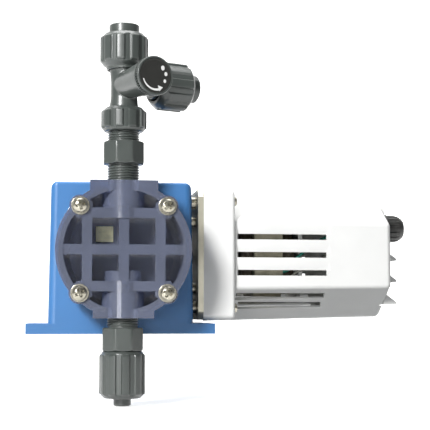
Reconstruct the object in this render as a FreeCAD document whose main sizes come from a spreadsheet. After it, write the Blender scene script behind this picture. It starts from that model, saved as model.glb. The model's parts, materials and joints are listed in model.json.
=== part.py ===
"""Motor-driven diaphragm metering pump.

The frame has +Z up and -Y towards the front of the pump, where its head is. The origin is the
centre of the foot's bolt pattern on the underside of the foot. All sizes are in millimetres.
"""
import FreeCAD
import Part

import math
import os

import Sketcher

SIZES = {
    # cast gear housing and its foot
    "housing_width": 101, "housing_flare": 1.5, "housing_depth": 100, "housing_height": 109,
    "housing_wall": 5, "housing_rounding": 5, "foot_reach": 17, "foot_thickness": 7.5,
    "foot_hole_radius": 3.5, "foot_hole_reach": 9.5, "foot_hole_spacing_y": 70,
    # rear cover with the stroke knob
    "gasket_thickness": 1, "cover_plate_thickness": 5, "plate_foot_gap": 1.5, "plate_top_gap": 1.5,
    "gasket_inset": 9, "ear_inset": 3.5, "ear_radius": 5, "ear_length": 14,
    "stop_offset": 20, "stop_rod_radius": 3, "hex_radius": 2.95, "hex_clearance": 0.15,
    "knob_hub_radius": 5, "stroke_knob_radius": 16, "stroke_knob_length": 17, "stop_travel": 4,
    # pump head
    "head_height": 58.5, "head_radius": 47, "ring_inner_radius": 41.5, "head_depth": 32,
    "head_floor": 6, "flat_top": 48, "flat_top_half": 23.5, "flat_bottom": 47.2,
    "flat_bottom_half": 21, "rib_width": 7, "rib_offset": 25.2, "head_screw_spacing": 60,
    "screw_boss_radius": 7.5, "valve_boss_radius": 15, "valve_axis_depth": 18,
    "socket_radius": 11.2, "socket_depth": 17.5, "channel_radius": 3, "channel_offset": 24,
    "chamber_radius": 28, "chamber_depth": 1.5, "suction_boss_top": 14.5, "suction_boss_half": 12.7,
    # diaphragm and backing plate
    "backing_radius": 45.5, "backing_thickness": 4, "backing_bore": 12, "diaphragm_radius": 37,
    "diaphragm_thickness": 2.3, "diaphragm_hub_radius": 10, "slack": 0.3,
    # valves and fittings above and below the head
    "thread_radius": 11, "valve_body_half": 13.9, "valve_body_length": 16, "valve_neck": 12,
    "upper_neck": 7, "nut_crest_radius": 16, "nut_rib_width": 5.6, "nut_rib_depth": 1.2,
    "nut_chamfer": 2.2, "nut_rib_count": 10, "union_nut_length": 17.5, "tee_radius": 10.2,
    "tee_length": 26.4, "top_nut_radius": 17, "top_nut_length": 26.1, "end_ring_radius": 10.7,
    "end_ring_length": 6.5, "stem_inset": 1.6, "lip_gap": 0.3, "suction_neck": 6.5,
    "suction_nut_length": 32.5,
    "suction_tip_radius": 6.1, "suction_tip_length": 5.2, "flow_radius": 3.5, "ball_radius": 4.5,
    "ball_lift": 2, "cage_radius": 5.6, "seat_bore": 3, "seat_thickness": 3, "fit_gap": 0.2,
    # bleed valve on the tee
    "bleed_azimuth": 25, "bleed_height": 174.5, "port_height": 177.5, "barrel_reach": 39.5,
    "barrel_root_radius": 8.8, "port_root_radius": 7, "barrel_end_radius": 12.6, "bleed_knob_radius": 13.5,
    "bleed_knob_length": 6, "spindle_radius": 3, "port_nut_start": 24, "port_nut_length": 26.5,
    "port_nut_radius": 17.5, "port_ring_length": 7,
    # plunger drive
    "output_y": 5, "eccentricity": 2, "eccentric_radius": 8.5, "cam_bearing_radius": 13,
    "cam_width": 9, "output_shaft_radius": 4, "plunger_radius": 5, "plunger_clearance": 0.05,
    "follower_thickness": 3, "follower_half": 9, "follower_drop": 12, "follower_rise": 5,
    "guide_radius": 8, "guide_flange": 2, "guide_flange_thickness": 1.5,
    "spring_radius": 8, "spring_wire": 0.8, "spring_turns": 6,
    # two-stage spur reduction
    "pinion_teeth": 12, "wheel_teeth": 60, "first_module": 0.6, "second_module": 0.7,
    "tooth_backlash": 0.08, "motor_height": 57.5, "motor_shaft_radius": 3, "pinion_bore": 1.8,
    "shaft_opening": 9, "idler_radius": 2.5,
    "gear_plate_x": 15, "gear_plate_thickness": 3, "pillar_radius": 4.5, "pillar_y": 28.5,
    "pillar_low": 16, "pillar_high": 92, "bush_wall": 2, "shaft_clearance": 0.05,
    # motor plate, motor and its cover
    "standoff_radius": 4.5, "standoff_rise": 1.5, "standoff_y": 30, "standoff_z": 38.5,
    "plate_gap": 3.5, "plate_thickness": 4, "plate_clip": 6,
    "flange_size": 95, "flange_length": 23, "cover_wall": 2.5, "cover_side": 50.5,
    "cover_length": 118, "cover_draft": 1.2, "ridge_rounding": 12, "slot_height": 4.1,
    "slot_pitch": 13.2, "slot_start": 2, "slot_length": 67, "ramp_height": 5.5, "ramp_depth": 1.4,
    "ramp_overrun": 2.2, "stator_half": 33,
    "stator_corner": 12, "stator_gap": 39.5, "stator_length": 21, "stator_bore": 18.6,
    "rotor_core_radius": 18, "coil_radius": 28, "coil_length": 10, "bracket_thickness": 3,
    "motor_bolt_offset": 24.5, "motor_bolt_radius": 2, "fan_radius": 29, "fan_gap": 4.5,
    "fan_length": 10, "gland_radius": 11.3, "gland_length": 18, "gland_height": 80,
    "wire_radius": 1.1,
}

doc = FreeCAD.newDocument("metering_pump")
sheet = doc.addObject("Spreadsheet::Sheet", "Sizes")
for row, (alias, number) in enumerate(SIZES.items(), start=1):
    sheet.set(f"A{row}", alias)
    sheet.set(f"B{row}", str(number))
    sheet.setAlias(f"B{row}", alias)
doc.recompute()


class Size:
    """A length worked out from the sheet: its number, and the expression that gives it."""

    def __init__(self, number, text):
        self.number = float(number)
        self.text = text

    def __float__(self):
        return self.number

    def __add__(self, other):
        other = sized(other)
        return Size(self.number + other.number, f"({self.text} + {other.text})")

    def __sub__(self, other):
        other = sized(other)
        return Size(self.number - other.number, f"({self.text} - {other.text})")

    def __mul__(self, other):
        other = sized(other)
        return Size(self.number * other.number, f"({self.text} * {other.text})")

    def __truediv__(self, other):
        other = sized(other)
        return Size(self.number / other.number, f"({self.text} / {other.text})")

    def __neg__(self):
        return sized(0) - self

    def __radd__(self, other):
        return sized(other) + self

    def __rsub__(self, other):
        return sized(other) - self

    def __rmul__(self, other):
        return sized(other) * self


def sized(value):
    """A plain number becomes a Size; a Size stays as it is."""
    return value if isinstance(value, Size) else Size(value, f"({float(value):.9g})")


def root(size):
    """The square root of a Size."""
    return Size(math.sqrt(size.number), f"sqrt({size.text})")


def sine(degrees):
    """The sine of a Size in degrees."""
    return Size(math.sin(math.radians(degrees.number)), f"sin({degrees.text})")


def cosine(degrees):
    """The cosine of a Size in degrees."""
    return Size(math.cos(math.radians(degrees.number)), f"cos({degrees.text})")


class Sheet:
    """The spreadsheet's cells as Sizes, read by name."""

    def __getattr__(self, alias):
        return Size(sheet.get(alias), f"Sizes.{alias}")


s = Sheet()
parts_made = []

# Turns that carry a piece's own +Z to the direction named.
ALONG = {
    "up": FreeCAD.Rotation(),
    "down": FreeCAD.Rotation(FreeCAD.Vector(1, 0, 0), 180),
    "front": FreeCAD.Rotation(FreeCAD.Vector(1, 0, 0), 90),
    "back": FreeCAD.Rotation(FreeCAD.Vector(1, 0, 0), -90),
    "right": FreeCAD.Rotation(FreeCAD.Vector(0, 1, 0), 90),
    "left": FreeCAD.Rotation(FreeCAD.Vector(0, 1, 0), -90),
}
swivel = FreeCAD.Rotation(FreeCAD.Vector(0, 0, 1), float(s.bleed_azimuth))
ALONG["bleed"] = swivel * ALONG["front"]
ALONG["port"] = swivel * ALONG["right"]


# ---------------------------------------------------------------- places shared by the sub-parts

front_face = -s.housing_depth / 2
back_face = s.housing_depth / 2
head_back = front_face - s.backing_thickness
valve_y = head_back - s.valve_axis_depth
screw_reach = s.head_screw_spacing / 2

discharge_flat = s.head_height + s.flat_top
discharge_body = discharge_flat + s.valve_neck
discharge_neck = discharge_body + s.valve_body_length
union_nut_base = discharge_neck + s.upper_neck
tee_base = union_nut_base + s.union_nut_length
top_nut_base = tee_base + s.tee_length
end_ring_base = top_nut_base + s.top_nut_length
suction_flat = s.head_height - s.flat_bottom
suction_body = suction_flat - s.suction_neck
suction_nut_top = suction_body - s.valve_body_length
suction_tip_top = suction_nut_top - s.suction_nut_length

stem_radius = s.thread_radius - s.stem_inset

bleed_x = sine(s.bleed_azimuth)
bleed_y = -cosine(s.bleed_azimuth)

follower_face = s.output_y - s.cam_bearing_radius - s.eccentricity - s.slack
follower_front = follower_face - s.follower_thickness
plunger_tip = front_face - s.slack
rear_plate_inside = back_face + s.gasket_thickness
rear_plate_outside = rear_plate_inside + s.cover_plate_thickness
stop_height = s.head_height + s.stop_offset

first_distance = s.first_module * (s.pinion_teeth + s.wheel_teeth) / 2
second_distance = s.second_module * (s.pinion_teeth + s.wheel_teeth) / 2
shaft_rise = s.head_height - s.motor_height
shaft_gap = root(s.output_y * s.output_y + shaft_rise * shaft_rise)
idler_along = (first_distance * first_distance - second_distance * second_distance
               + shaft_gap * shaft_gap) / (2 * shaft_gap)
idler_across = root(first_distance * first_distance - idler_along * idler_along)
idler_y = (idler_along * s.output_y + idler_across * shaft_rise) / shaft_gap
idler_z = s.motor_height + (idler_along * shaft_rise - idler_across * s.output_y) / shaft_gap

wall_inside = s.housing_width / 2 - s.housing_wall
foot_end = s.housing_width / 2 + s.foot_reach
gear_plate_back = s.gear_plate_x + s.gear_plate_thickness
bush_length = s.gear_plate_thickness + 2
wheel_start = gear_plate_back + 2
wheel_width = sized(10)
first_wheel_start = wheel_start + wheel_width + 4
first_wheel_width = sized(6)

standoff_pad = s.housing_width / 2 + s.standoff_rise
plate_x = standoff_pad + s.plate_gap
plate_back = plate_x + s.plate_thickness
flange_end = plate_back + s.flange_length
cover_end = flange_end + s.cover_length
cover_apothem = s.cover_side * math.sqrt(3) / 2
stator_start = plate_back + s.stator_gap
front_bracket_x = stator_start - s.coil_length - 2 - s.bracket_thickness
stator_end = stator_start + s.stator_length
rear_bracket_x = stator_end + s.coil_length + 2


# ---------------------------------------------------------------- building blocks

def bind(item, prop, size):
    """Ties a property of an object to the sheet."""
    item.setExpression(prop, sized(size).text)


def place(item, spot, along="up"):
    """Turns an object, then ties its position to the sheet."""
    item.Placement = FreeCAD.Placement(FreeCAD.Vector(), ALONG[along])
    for axis, size in zip("xyz", spot):
        bind(item, f"Placement.Base.{axis}", size)
    return item


def keep(item, label):
    """Names an object as a sub-part of the pump."""
    item.Label = label
    parts_made.append(item)
    return item


def new_body(name):
    """An empty PartDesign body."""
    return doc.addObject("PartDesign::Body", name)


def origin_feature(body, role):
    """One of a body's own origin planes or axes."""
    return next(item for item in body.Origin.OriginFeatures if item.Role == role)


def new_sketch(body, plane, offset=0):
    """A sketch on one of the body's origin planes, moved along the plane's normal."""
    sketch = body.newObject("Sketcher::SketchObject", "sketch")
    sketch.AttachmentSupport = (origin_feature(body, plane), [""])
    sketch.MapMode = "FlatFace"
    bind(sketch, "AttachmentOffset.Base.z", offset)
    return sketch


def draw_polygon(sketch, corners):
    """A closed outline of straight lines, each corner tied to the sheet."""
    first = sketch.GeometryCount
    count = len(corners)
    spots = [FreeCAD.Vector(float(x), float(y), 0) for x, y in corners]
    sketch.addGeometry([Part.LineSegment(spots[i], spots[(i + 1) % count]) for i in range(count)], False)
    for i, (x, y) in enumerate(corners):
        line = first + i
        sketch.addConstraint(Sketcher.Constraint("Coincident", line, 2, first + (i + 1) % count, 1))
        across = sketch.addConstraint(Sketcher.Constraint("DistanceX", -1, 1, line, 1, spots[i].x))
        up = sketch.addConstraint(Sketcher.Constraint("DistanceY", -1, 1, line, 1, spots[i].y))
        bind(sketch, f"Constraints[{across}]", x)
        bind(sketch, f"Constraints[{up}]", y)


def draw_rectangle(sketch, left, right, bottom, top):
    """A rectangle between four values."""
    draw_polygon(sketch, [(left, bottom), (right, bottom), (right, top), (left, top)])


def draw_circle(sketch, x, y, radius):
    """A circle with its centre and radius tied to the sheet."""
    centre = FreeCAD.Vector(float(x), float(y), 0)
    circle = sketch.addGeometry(Part.Circle(centre, FreeCAD.Vector(0, 0, 1), float(radius)), False)
    size = sketch.addConstraint(Sketcher.Constraint("Radius", circle, float(radius)))
    across = sketch.addConstraint(Sketcher.Constraint("DistanceX", -1, 1, circle, 3, centre.x))
    up = sketch.addConstraint(Sketcher.Constraint("DistanceY", -1, 1, circle, 3, centre.y))
    bind(sketch, f"Constraints[{size}]", radius)
    bind(sketch, f"Constraints[{across}]", x)
    bind(sketch, f"Constraints[{up}]", y)


def pad(body, sketch, length, taper=0):
    """Raises a sketch along its plane's normal."""
    feature = body.newObject("PartDesign::Pad", "pad")
    feature.Profile = sketch
    bind(feature, "Length", length)
    bind(feature, "TaperAngle", taper)
    return feature


def pocket(body, sketch, length, forward=False, taper=0):
    """Cuts a sketch against its plane's normal, or along it when forward is set."""
    feature = body.newObject("PartDesign::Pocket", "pocket")
    feature.Profile = sketch
    feature.Reversed = forward
    bind(feature, "Length", length)
    bind(feature, "TaperAngle", taper)
    return feature


def round_edges(body, base, radius, wanted):
    """Fillets the edges of a feature that the test picks."""
    doc.recompute()
    names = [f"Edge{i}" for i, edge in enumerate(base.Shape.Edges, start=1) if wanted(edge.BoundBox)]
    feature = body.newObject("PartDesign::Fillet", "fillet")
    feature.Base = (base, names)
    bind(feature, "Radius", radius)
    return feature


def around(body, features, count):
    """Repeats features evenly about the body's own Z axis."""
    pattern = body.newObject("PartDesign::PolarPattern", "pattern")
    pattern.Originals = features
    pattern.Axis = (origin_feature(body, "Z_Axis"), [""])
    pattern.Angle = 360
    pattern.Occurrences = count
    body.Tip = pattern
    return pattern


def turned(profile, spot, along="up"):
    """A body of revolution about its own Z axis from (radius, height) corners."""
    body = new_body("turned")
    sketch = new_sketch(body, "XZ_Plane")
    draw_polygon(sketch, profile)
    feature = body.newObject("PartDesign::Revolution", "revolution")
    feature.Profile = sketch
    feature.ReferenceAxis = (sketch, ["V_Axis"])
    feature.Angle = 360
    return place(body, spot, along)


def tube(outer, inner, length, spot, along="up"):
    """A plain sleeve."""
    profile = [(inner, 0), (outer, 0), (outer, length), (inner, length)]
    return turned(profile, spot, along)


def rod(radius, length, spot, along="up"):
    """A plain cylinder."""
    item = doc.addObject("Part::Cylinder", "rod")
    bind(item, "Radius", radius)
    bind(item, "Height", length)
    return place(item, spot, along)


def block(low, high):
    """A box between two corners."""
    item = doc.addObject("Part::Box", "block")
    for prop, start, end in zip(("Length", "Width", "Height"), low, high):
        bind(item, prop, sized(end) - start)
    return place(item, low)


def fused(items):
    """One solid from several that overlap."""
    item = doc.addObject("Part::MultiFuse", "fused")
    item.Shapes = items
    item.Refine = True
    return item


def cut(base, tools):
    """A base with tools taken away from it."""
    item = doc.addObject("Part::Cut", "cut")
    item.Base = base
    item.Tool = tools[0] if len(tools) == 1 else fused(tools)
    return item


def group(label, items):
    """Identical pieces that share one sub-part, each its own solid."""
    item = doc.addObject("Part::Compound", "group")
    item.Links = items
    return keep(item, label)


def screw(head_radius, head_height, shank_radius, shank_length, spot, along):
    """A screw whose head sits on the spot and whose shank runs back from it."""
    profile = [(0, -shank_length), (shank_radius, -shank_length), (shank_radius, 0),
               (head_radius, 0), (head_radius, head_height), (0, head_height)]
    return turned(profile, spot, along)


def corners_of(x, y):
    """The four corners of a rectangle about the origin, from its half sides."""
    return [(-x, -y), (x, -y), (x, y), (-x, y)]


# ---------------------------------------------------------------- gear housing and rear cover

def gear_housing():
    """Cast box open at the back, standing on its foot, with a wall for the head at the front."""
    body = new_body("gear_housing")
    half = s.housing_width / 2
    outline = new_sketch(body, "XZ_Plane", -back_face)
    draw_polygon(outline, [(-half - s.housing_flare, 0), (half + s.housing_flare, 0),
                           (half, s.housing_height), (-half, s.housing_height)])
    block_pad = pad(body, outline, s.housing_depth)
    near = float(front_face) + 0.1
    top = float(s.housing_height) - 0.1
    rounded = round_edges(body, block_pad, s.housing_rounding,
                          lambda b: b.ZMax - b.ZMin > 1 and b.YMax < near
                          or b.ZMin > top and b.YMax - b.YMin > 1)
    front_rim = round_edges(body, rounded, s.housing_rounding / 2,
                            lambda b: b.ZMin > top and b.YMax < near + float(s.housing_rounding)
                            and b.YMax - b.YMin < 0.1 and b.XMax - b.XMin > 50)
    body.Tip = front_rim
    foot = new_sketch(body, "XY_Plane")
    draw_rectangle(foot, -foot_end, foot_end, front_face, back_face)
    pad(body, foot, s.foot_thickness)
    cavity = new_sketch(body, "XZ_Plane", -back_face)
    draw_rectangle(cavity, -wall_inside, wall_inside, s.foot_thickness,
                   s.housing_height - s.housing_wall)
    pocket(body, cavity, s.housing_depth - s.housing_wall, forward=True)
    housing_bosses(body)
    housing_holes(body)
    return keep(body, "gear_housing")


def housing_bosses(body):
    """Bosses cast inside the walls for screws and bearings."""
    inside = -front_face - s.housing_wall
    bosses = new_sketch(body, "XZ_Plane", inside - 11)
    for x, z in corners_of(screw_reach, screw_reach):
        draw_circle(bosses, x, s.head_height + z, 7)
    pad(body, bosses, 12)
    guide = new_sketch(body, "XZ_Plane", inside - 5)
    draw_circle(guide, 0, s.head_height, s.guide_radius + 4)
    pad(body, guide, 6)
    left = new_sketch(body, "YZ_Plane", -wall_inside - 1)
    draw_circle(left, s.output_y, s.head_height, s.output_shaft_radius + s.bush_wall + 4)
    pad(body, left, 8.5)
    right = new_sketch(body, "YZ_Plane", wall_inside - 4)
    draw_circle(right, idler_y, idler_z, s.idler_radius + s.bush_wall + 3.5)
    pad(body, right, 5)
    pads = new_sketch(body, "YZ_Plane", wall_inside)
    for y, z in corners_of(s.standoff_y, s.standoff_z):
        draw_circle(pads, y, s.motor_height + z, s.standoff_radius + 0.5)
    pad(body, pads, standoff_pad - wall_inside)
    ears = new_sketch(body, "XZ_Plane", -back_face)
    for x, z in rear_screw_spots():
        draw_circle(ears, x, z, s.ear_radius)
    pad(body, ears, s.ear_length)


def housing_holes(body):
    """Bores for the guide, the shafts, the screws and the foot bolts."""
    front = new_sketch(body, "XZ_Plane", -front_face)
    draw_circle(front, 0, s.head_height, s.guide_radius)
    pocket(body, front, s.housing_wall + 6)
    threads = new_sketch(body, "XZ_Plane", -front_face)
    for x, z in corners_of(screw_reach, screw_reach):
        draw_circle(threads, x, s.head_height + z, 3.05)
    pocket(body, threads, s.housing_wall + 11)
    left = new_sketch(body, "YZ_Plane", -wall_inside + 8)
    draw_circle(left, s.output_y, s.head_height, s.output_shaft_radius + s.bush_wall)
    pocket(body, left, 10.5)
    right = new_sketch(body, "YZ_Plane", wall_inside + 3)
    draw_circle(right, idler_y, idler_z, s.idler_radius + s.bush_wall)
    pocket(body, right, 8)
    shaft = new_sketch(body, "YZ_Plane", standoff_pad + 1)
    draw_circle(shaft, 0, s.motor_height, s.shaft_opening)
    pocket(body, shaft, s.housing_wall + 10)
    plate_threads = new_sketch(body, "YZ_Plane", standoff_pad + 1)
    for y, z in corners_of(s.standoff_y, s.standoff_z):
        draw_circle(plate_threads, y, s.motor_height + z, 2.05)
    pocket(body, plate_threads, s.housing_wall + 10)
    rear = new_sketch(body, "XZ_Plane", -back_face)
    for x, z in rear_screw_spots():
        draw_circle(rear, x, z, 2.05)
    pocket(body, rear, s.ear_length - 2, forward=True)
    foot = new_sketch(body, "XY_Plane")
    for x, y in corners_of(s.housing_width / 2 + s.foot_hole_reach, s.foot_hole_spacing_y / 2):
        draw_circle(foot, x, y, s.foot_hole_radius)
    pocket(body, foot, s.foot_thickness, forward=True)


def rear_plate_outline(sketch):
    """The outline that the rear cover and its gasket share."""
    half = s.housing_width / 2
    draw_rectangle(sketch, -half, half, s.plate_foot_gap, s.housing_height - s.plate_top_gap)


def rear_screw_spots():
    """Where the rear cover's screws stand, as (x, z)."""
    reach_x = wall_inside - s.ear_inset
    low = s.foot_thickness + s.ear_inset
    high = s.housing_height - s.housing_wall - s.ear_inset
    return [(x, z) for x in (-reach_x, reach_x) for z in (low, high)]


def rear_gasket():
    """Flat seal between the housing and its rear cover."""
    body = new_body("rear_gasket")
    outline = new_sketch(body, "XZ_Plane", -rear_plate_inside)
    rear_plate_outline(outline)
    pad(body, outline, s.gasket_thickness)
    window = new_sketch(body, "XZ_Plane", -rear_plate_inside)
    inset = s.gasket_inset
    draw_rectangle(window, -wall_inside + inset, wall_inside - inset,
                   s.foot_thickness + inset, s.housing_height - s.housing_wall - inset)
    for x, z in rear_screw_spots():
        draw_circle(window, x, z, 2.3)
    pocket(body, window, s.gasket_thickness, forward=True)
    keep(body, "rear_gasket")


def rear_cover():
    """Plate that closes the housing, with the guide boss of the stroke stop inside it."""
    body = new_body("rear_cover")
    outline = new_sketch(body, "XZ_Plane", -rear_plate_outside)
    rear_plate_outline(outline)
    pad(body, outline, s.cover_plate_thickness)
    boss = new_sketch(body, "XZ_Plane", -rear_plate_inside)
    draw_circle(boss, 0, stop_height, 9)
    pad(body, boss, 15)
    hub = new_sketch(body, "XZ_Plane", -rear_plate_outside)
    draw_circle(hub, 0, stop_height, s.knob_hub_radius + s.shaft_clearance)
    for x, z in rear_screw_spots():
        draw_circle(hub, x, z, 2.3)
    pocket(body, hub, s.cover_plate_thickness + 7, forward=True)
    guide = new_sketch(body, "XZ_Plane", -rear_plate_inside)
    draw_hexagon(guide, 0, stop_height, s.hex_radius + s.hex_clearance)
    pocket(body, guide, 16, forward=True)
    keep(body, "rear_cover")


def draw_hexagon(sketch, x, y, radius):
    """A regular hexagon about a point, from its corner radius."""
    corners = []
    for i in range(6):
        across = radius * math.cos(math.radians(60 * i))
        up = radius * math.sin(math.radians(60 * i))
        corners.append((x + across, y + up))
    draw_polygon(sketch, corners)


def rear_screws():
    """Four screws that hold the rear cover."""
    group("rear_cover_screws", [screw(3.5, 2.6, 2, 16, (x, rear_plate_outside, z), "back")
                                for x, z in rear_screw_spots()])


# ---------------------------------------------------------------- stroke adjustment

def stroke_stop():
    """Hexagonal stop rod with a threaded tail inside the knob's hub."""
    body = new_body("stop_rod")
    tip = follower_face + s.slack + s.stop_travel
    shoulder = rear_plate_inside - 2
    hexagon = new_sketch(body, "XY_Plane")
    draw_hexagon(hexagon, 0, 0, s.hex_radius)
    pad(body, hexagon, shoulder - tip)
    tail = new_sketch(body, "XY_Plane")
    draw_circle(tail, 0, 0, s.stop_rod_radius)
    bind(tail, "AttachmentOffset.Base.z", shoulder - tip)
    pad(body, tail, 10)
    keep(place(body, (0, tip, stop_height), "back"), "stop_rod")


def stroke_knob():
    """Knob on the back that draws the stop rod in or out."""
    hub_start = rear_plate_inside - 6.5
    seat = rear_plate_outside + s.slack
    bore = s.stop_rod_radius + s.shaft_clearance
    hub_length = seat - hub_start
    full = hub_length + s.stroke_knob_length
    blind = hub_length + 6
    profile = [(bore, 0), (s.knob_hub_radius, 0), (s.knob_hub_radius, hub_length),
               (s.stroke_knob_radius, hub_length), (s.stroke_knob_radius, full - 2),
               (s.stroke_knob_radius - 2, full), (0, full), (0, blind), (bore, blind)]
    keep(turned(profile, (0, hub_start, stop_height), "back"), "stroke_knob")


# ---------------------------------------------------------------- pump head and diaphragm

def pump_head():
    """Ribbed round head with a valve socket above and below; its own +Z faces the front."""
    body = new_body("pump_head")
    disc = new_sketch(body, "XY_Plane")
    draw_circle(disc, 0, 0, s.head_radius)
    pad(body, disc, s.head_depth)
    for half, low, high in ((s.flat_top_half, 0, s.flat_top), (s.flat_bottom_half, -s.flat_bottom, 0)):
        flat = new_sketch(body, "XY_Plane")
        draw_rectangle(flat, -half, half, low, high)
        pad(body, flat, s.head_depth)
    dish = new_sketch(body, "XY_Plane", s.head_floor)
    draw_circle(dish, 0, 0, s.ring_inner_radius)
    pocket(body, dish, s.head_depth, forward=True)
    head_ribs(body)
    head_bosses(body)
    head_bores(body)
    place(body, (0, head_back, s.head_height), "front")
    keep(body, "pump_head")


def head_ribs(body):
    """Three upright and three level ribs that stand on the floor of the dish."""
    height = s.head_depth - s.head_floor - 0.6
    for offset in (-s.rib_offset, sized(0), s.rib_offset):
        far = s.rib_width / 2 + (s.rib_offset if offset.number else 0)
        reach = root((s.ring_inner_radius + 2) * (s.ring_inner_radius + 2) - far * far)
        low = offset - s.rib_width / 2
        high = offset + s.rib_width / 2
        upright = new_sketch(body, "XY_Plane", s.head_floor)
        draw_rectangle(upright, low, high, -reach, reach)
        pad(body, upright, height)
        level = new_sketch(body, "XY_Plane", s.head_floor)
        draw_rectangle(level, -reach, reach, low, high)
        pad(body, level, height)


def head_bosses(body):
    """Bosses for the four screws and the two valves."""
    bosses = new_sketch(body, "XY_Plane", s.head_floor)
    for x, y in corners_of(screw_reach, screw_reach):
        draw_circle(bosses, x, y, s.screw_boss_radius)
    pad(body, bosses, s.head_depth - s.head_floor)
    rib_edge = s.rib_offset - s.rib_width / 2
    for half, low, high in ((s.valve_boss_radius, rib_edge, s.flat_top),
                            (s.valve_boss_radius, -s.flat_bottom, -rib_edge),
                            (s.suction_boss_half, -s.flat_bottom, -s.suction_boss_top)):
        web = new_sketch(body, "XY_Plane")
        draw_rectangle(web, -half, half, low, high)
        pad(body, web, s.valve_axis_depth)
        barrel = new_sketch(body, "XZ_Plane", -high)
        draw_circle(barrel, 0, s.valve_axis_depth, half)
        pad(body, barrel, high - low)


def head_bores(body):
    """Valve sockets, flow channels, diaphragm recess and screw holes."""
    for sign, flat in ((1, s.flat_top), (-1, s.flat_bottom)):
        socket = new_sketch(body, "XZ_Plane", -sign * flat)
        draw_circle(socket, 0, s.valve_axis_depth, s.socket_radius)
        pocket(body, socket, s.socket_depth, forward=sign > 0)
        channel = new_sketch(body, "XZ_Plane", -sign * flat)
        draw_circle(channel, 0, s.valve_axis_depth, s.channel_radius)
        pocket(body, channel, flat - s.channel_offset, forward=sign > 0)
        port = new_sketch(body, "XY_Plane", s.valve_axis_depth)
        draw_circle(port, 0, sign * s.channel_offset, s.channel_radius)
        pocket(body, port, s.valve_axis_depth)
    recess = new_sketch(body, "XY_Plane")
    draw_circle(recess, 0, 0, s.diaphragm_radius + s.slack)
    pocket(body, recess, s.diaphragm_thickness + s.fit_gap, forward=True)
    chamber = new_sketch(body, "XY_Plane")
    draw_circle(chamber, 0, 0, s.chamber_radius)
    pocket(body, chamber, s.diaphragm_thickness + s.fit_gap + s.chamber_depth, forward=True)
    holes = new_sketch(body, "XY_Plane")
    for x, y in corners_of(screw_reach, screw_reach):
        draw_circle(holes, x, y, 3.3)
    pocket(body, holes, s.head_depth + 1, forward=True)


def head_fasteners():
    """Four screws and their washers on the face of the head."""
    washer_thickness = 1.2
    face = head_back - s.head_depth
    spots = [(x, s.head_height + z) for x, z in corners_of(screw_reach, screw_reach)]
    group("head_washers", [tube(6.3, 3.2, washer_thickness, (x, face, z), "front") for x, z in spots])
    shank = s.head_depth + s.backing_thickness + s.housing_wall + 10 + washer_thickness
    group("head_screws", [screw(5, 3.8, 3, shank, (x, face - washer_thickness, z), "front")
                          for x, z in spots])


def backing_plate():
    """Steel disc between the housing and the head that backs the diaphragm's rim."""
    body = new_body("backing_plate")
    disc = new_sketch(body, "XY_Plane")
    draw_circle(disc, 0, 0, s.backing_radius)
    pad(body, disc, s.backing_thickness)
    holes = new_sketch(body, "XY_Plane")
    draw_circle(holes, 0, 0, s.backing_bore)
    for x, y in corners_of(screw_reach, screw_reach):
        draw_circle(holes, x, y, 3.3)
    pocket(body, holes, s.backing_thickness, forward=True)
    place(body, (0, front_face, s.head_height), "front")
    keep(body, "backing_plate")


def diaphragm():
    """Flexing disc with a hub at the back that the plunger pushes."""
    hub = s.backing_thickness - s.slack
    profile = [(0, -hub), (s.diaphragm_hub_radius, -hub), (s.diaphragm_hub_radius, 0),
               (s.diaphragm_radius, 0), (s.diaphragm_radius, s.diaphragm_thickness),
               (0, s.diaphragm_thickness)]
    keep(turned(profile, (0, head_back, s.head_height), "front"), "diaphragm")


def inspection_label():
    """Blank square sticker on the floor of the upper left window of the head."""
    floor = head_back - s.head_floor
    low = s.head_height + s.rib_width / 2 + 3
    item = block((-s.rib_offset + s.rib_width / 2 + 3, floor - 0.3, low),
                 (-s.rib_width / 2 - 3, floor, low + 11))
    keep(item, "inspection_label")


# ---------------------------------------------------------------- valves and fittings

def valve_body(label, base, neck, along, upper, cage_depth, seat_depth):
    """Eight-sided valve body with a thread at each end, a ball cage and a seat recess."""
    body = new_body(label)
    inside = s.socket_depth - 0.5
    top = neck + s.valve_body_length + upper
    barrel = new_sketch(body, "XY_Plane", -inside)
    draw_circle(barrel, 0, 0, s.thread_radius)
    pad(body, barrel, top + inside)
    octagon = new_sketch(body, "XY_Plane", neck)
    half = s.valve_body_half
    side = half * math.tan(math.radians(22.5))
    draw_polygon(octagon, [(half, -side), (half, side), (side, half), (-side, half),
                           (-half, side), (-half, -side), (-side, -half), (side, -half)])
    pad(body, octagon, s.valve_body_length)
    flow = new_sketch(body, "XY_Plane", -inside)
    draw_circle(flow, 0, 0, s.flow_radius)
    pocket(body, flow, top + inside, forward=True)
    cage = new_sketch(body, "XY_Plane", -inside)
    draw_circle(cage, 0, 0, s.cage_radius)
    pocket(body, cage, cage_depth, forward=True)
    if seat_depth:
        seat = new_sketch(body, "XY_Plane", -inside)
        draw_circle(seat, 0, 0, s.cage_radius + 2)
        pocket(body, seat, seat_depth, forward=True)
    place(body, (0, valve_y, base), along)
    keep(body, label)


def ball_rise():
    """Height of a resting ball's centre above the edge that it closes."""
    return root(s.ball_radius * s.ball_radius - s.seat_bore * s.seat_bore) + s.slack


def valve_ball(label, seat_top):
    """Ceramic check ball."""
    item = doc.addObject("Part::Sphere", label)
    bind(item, "Radius", s.ball_radius)
    place(item, (0, valve_y, seat_top + ball_rise()))
    keep(item, label)


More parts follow.
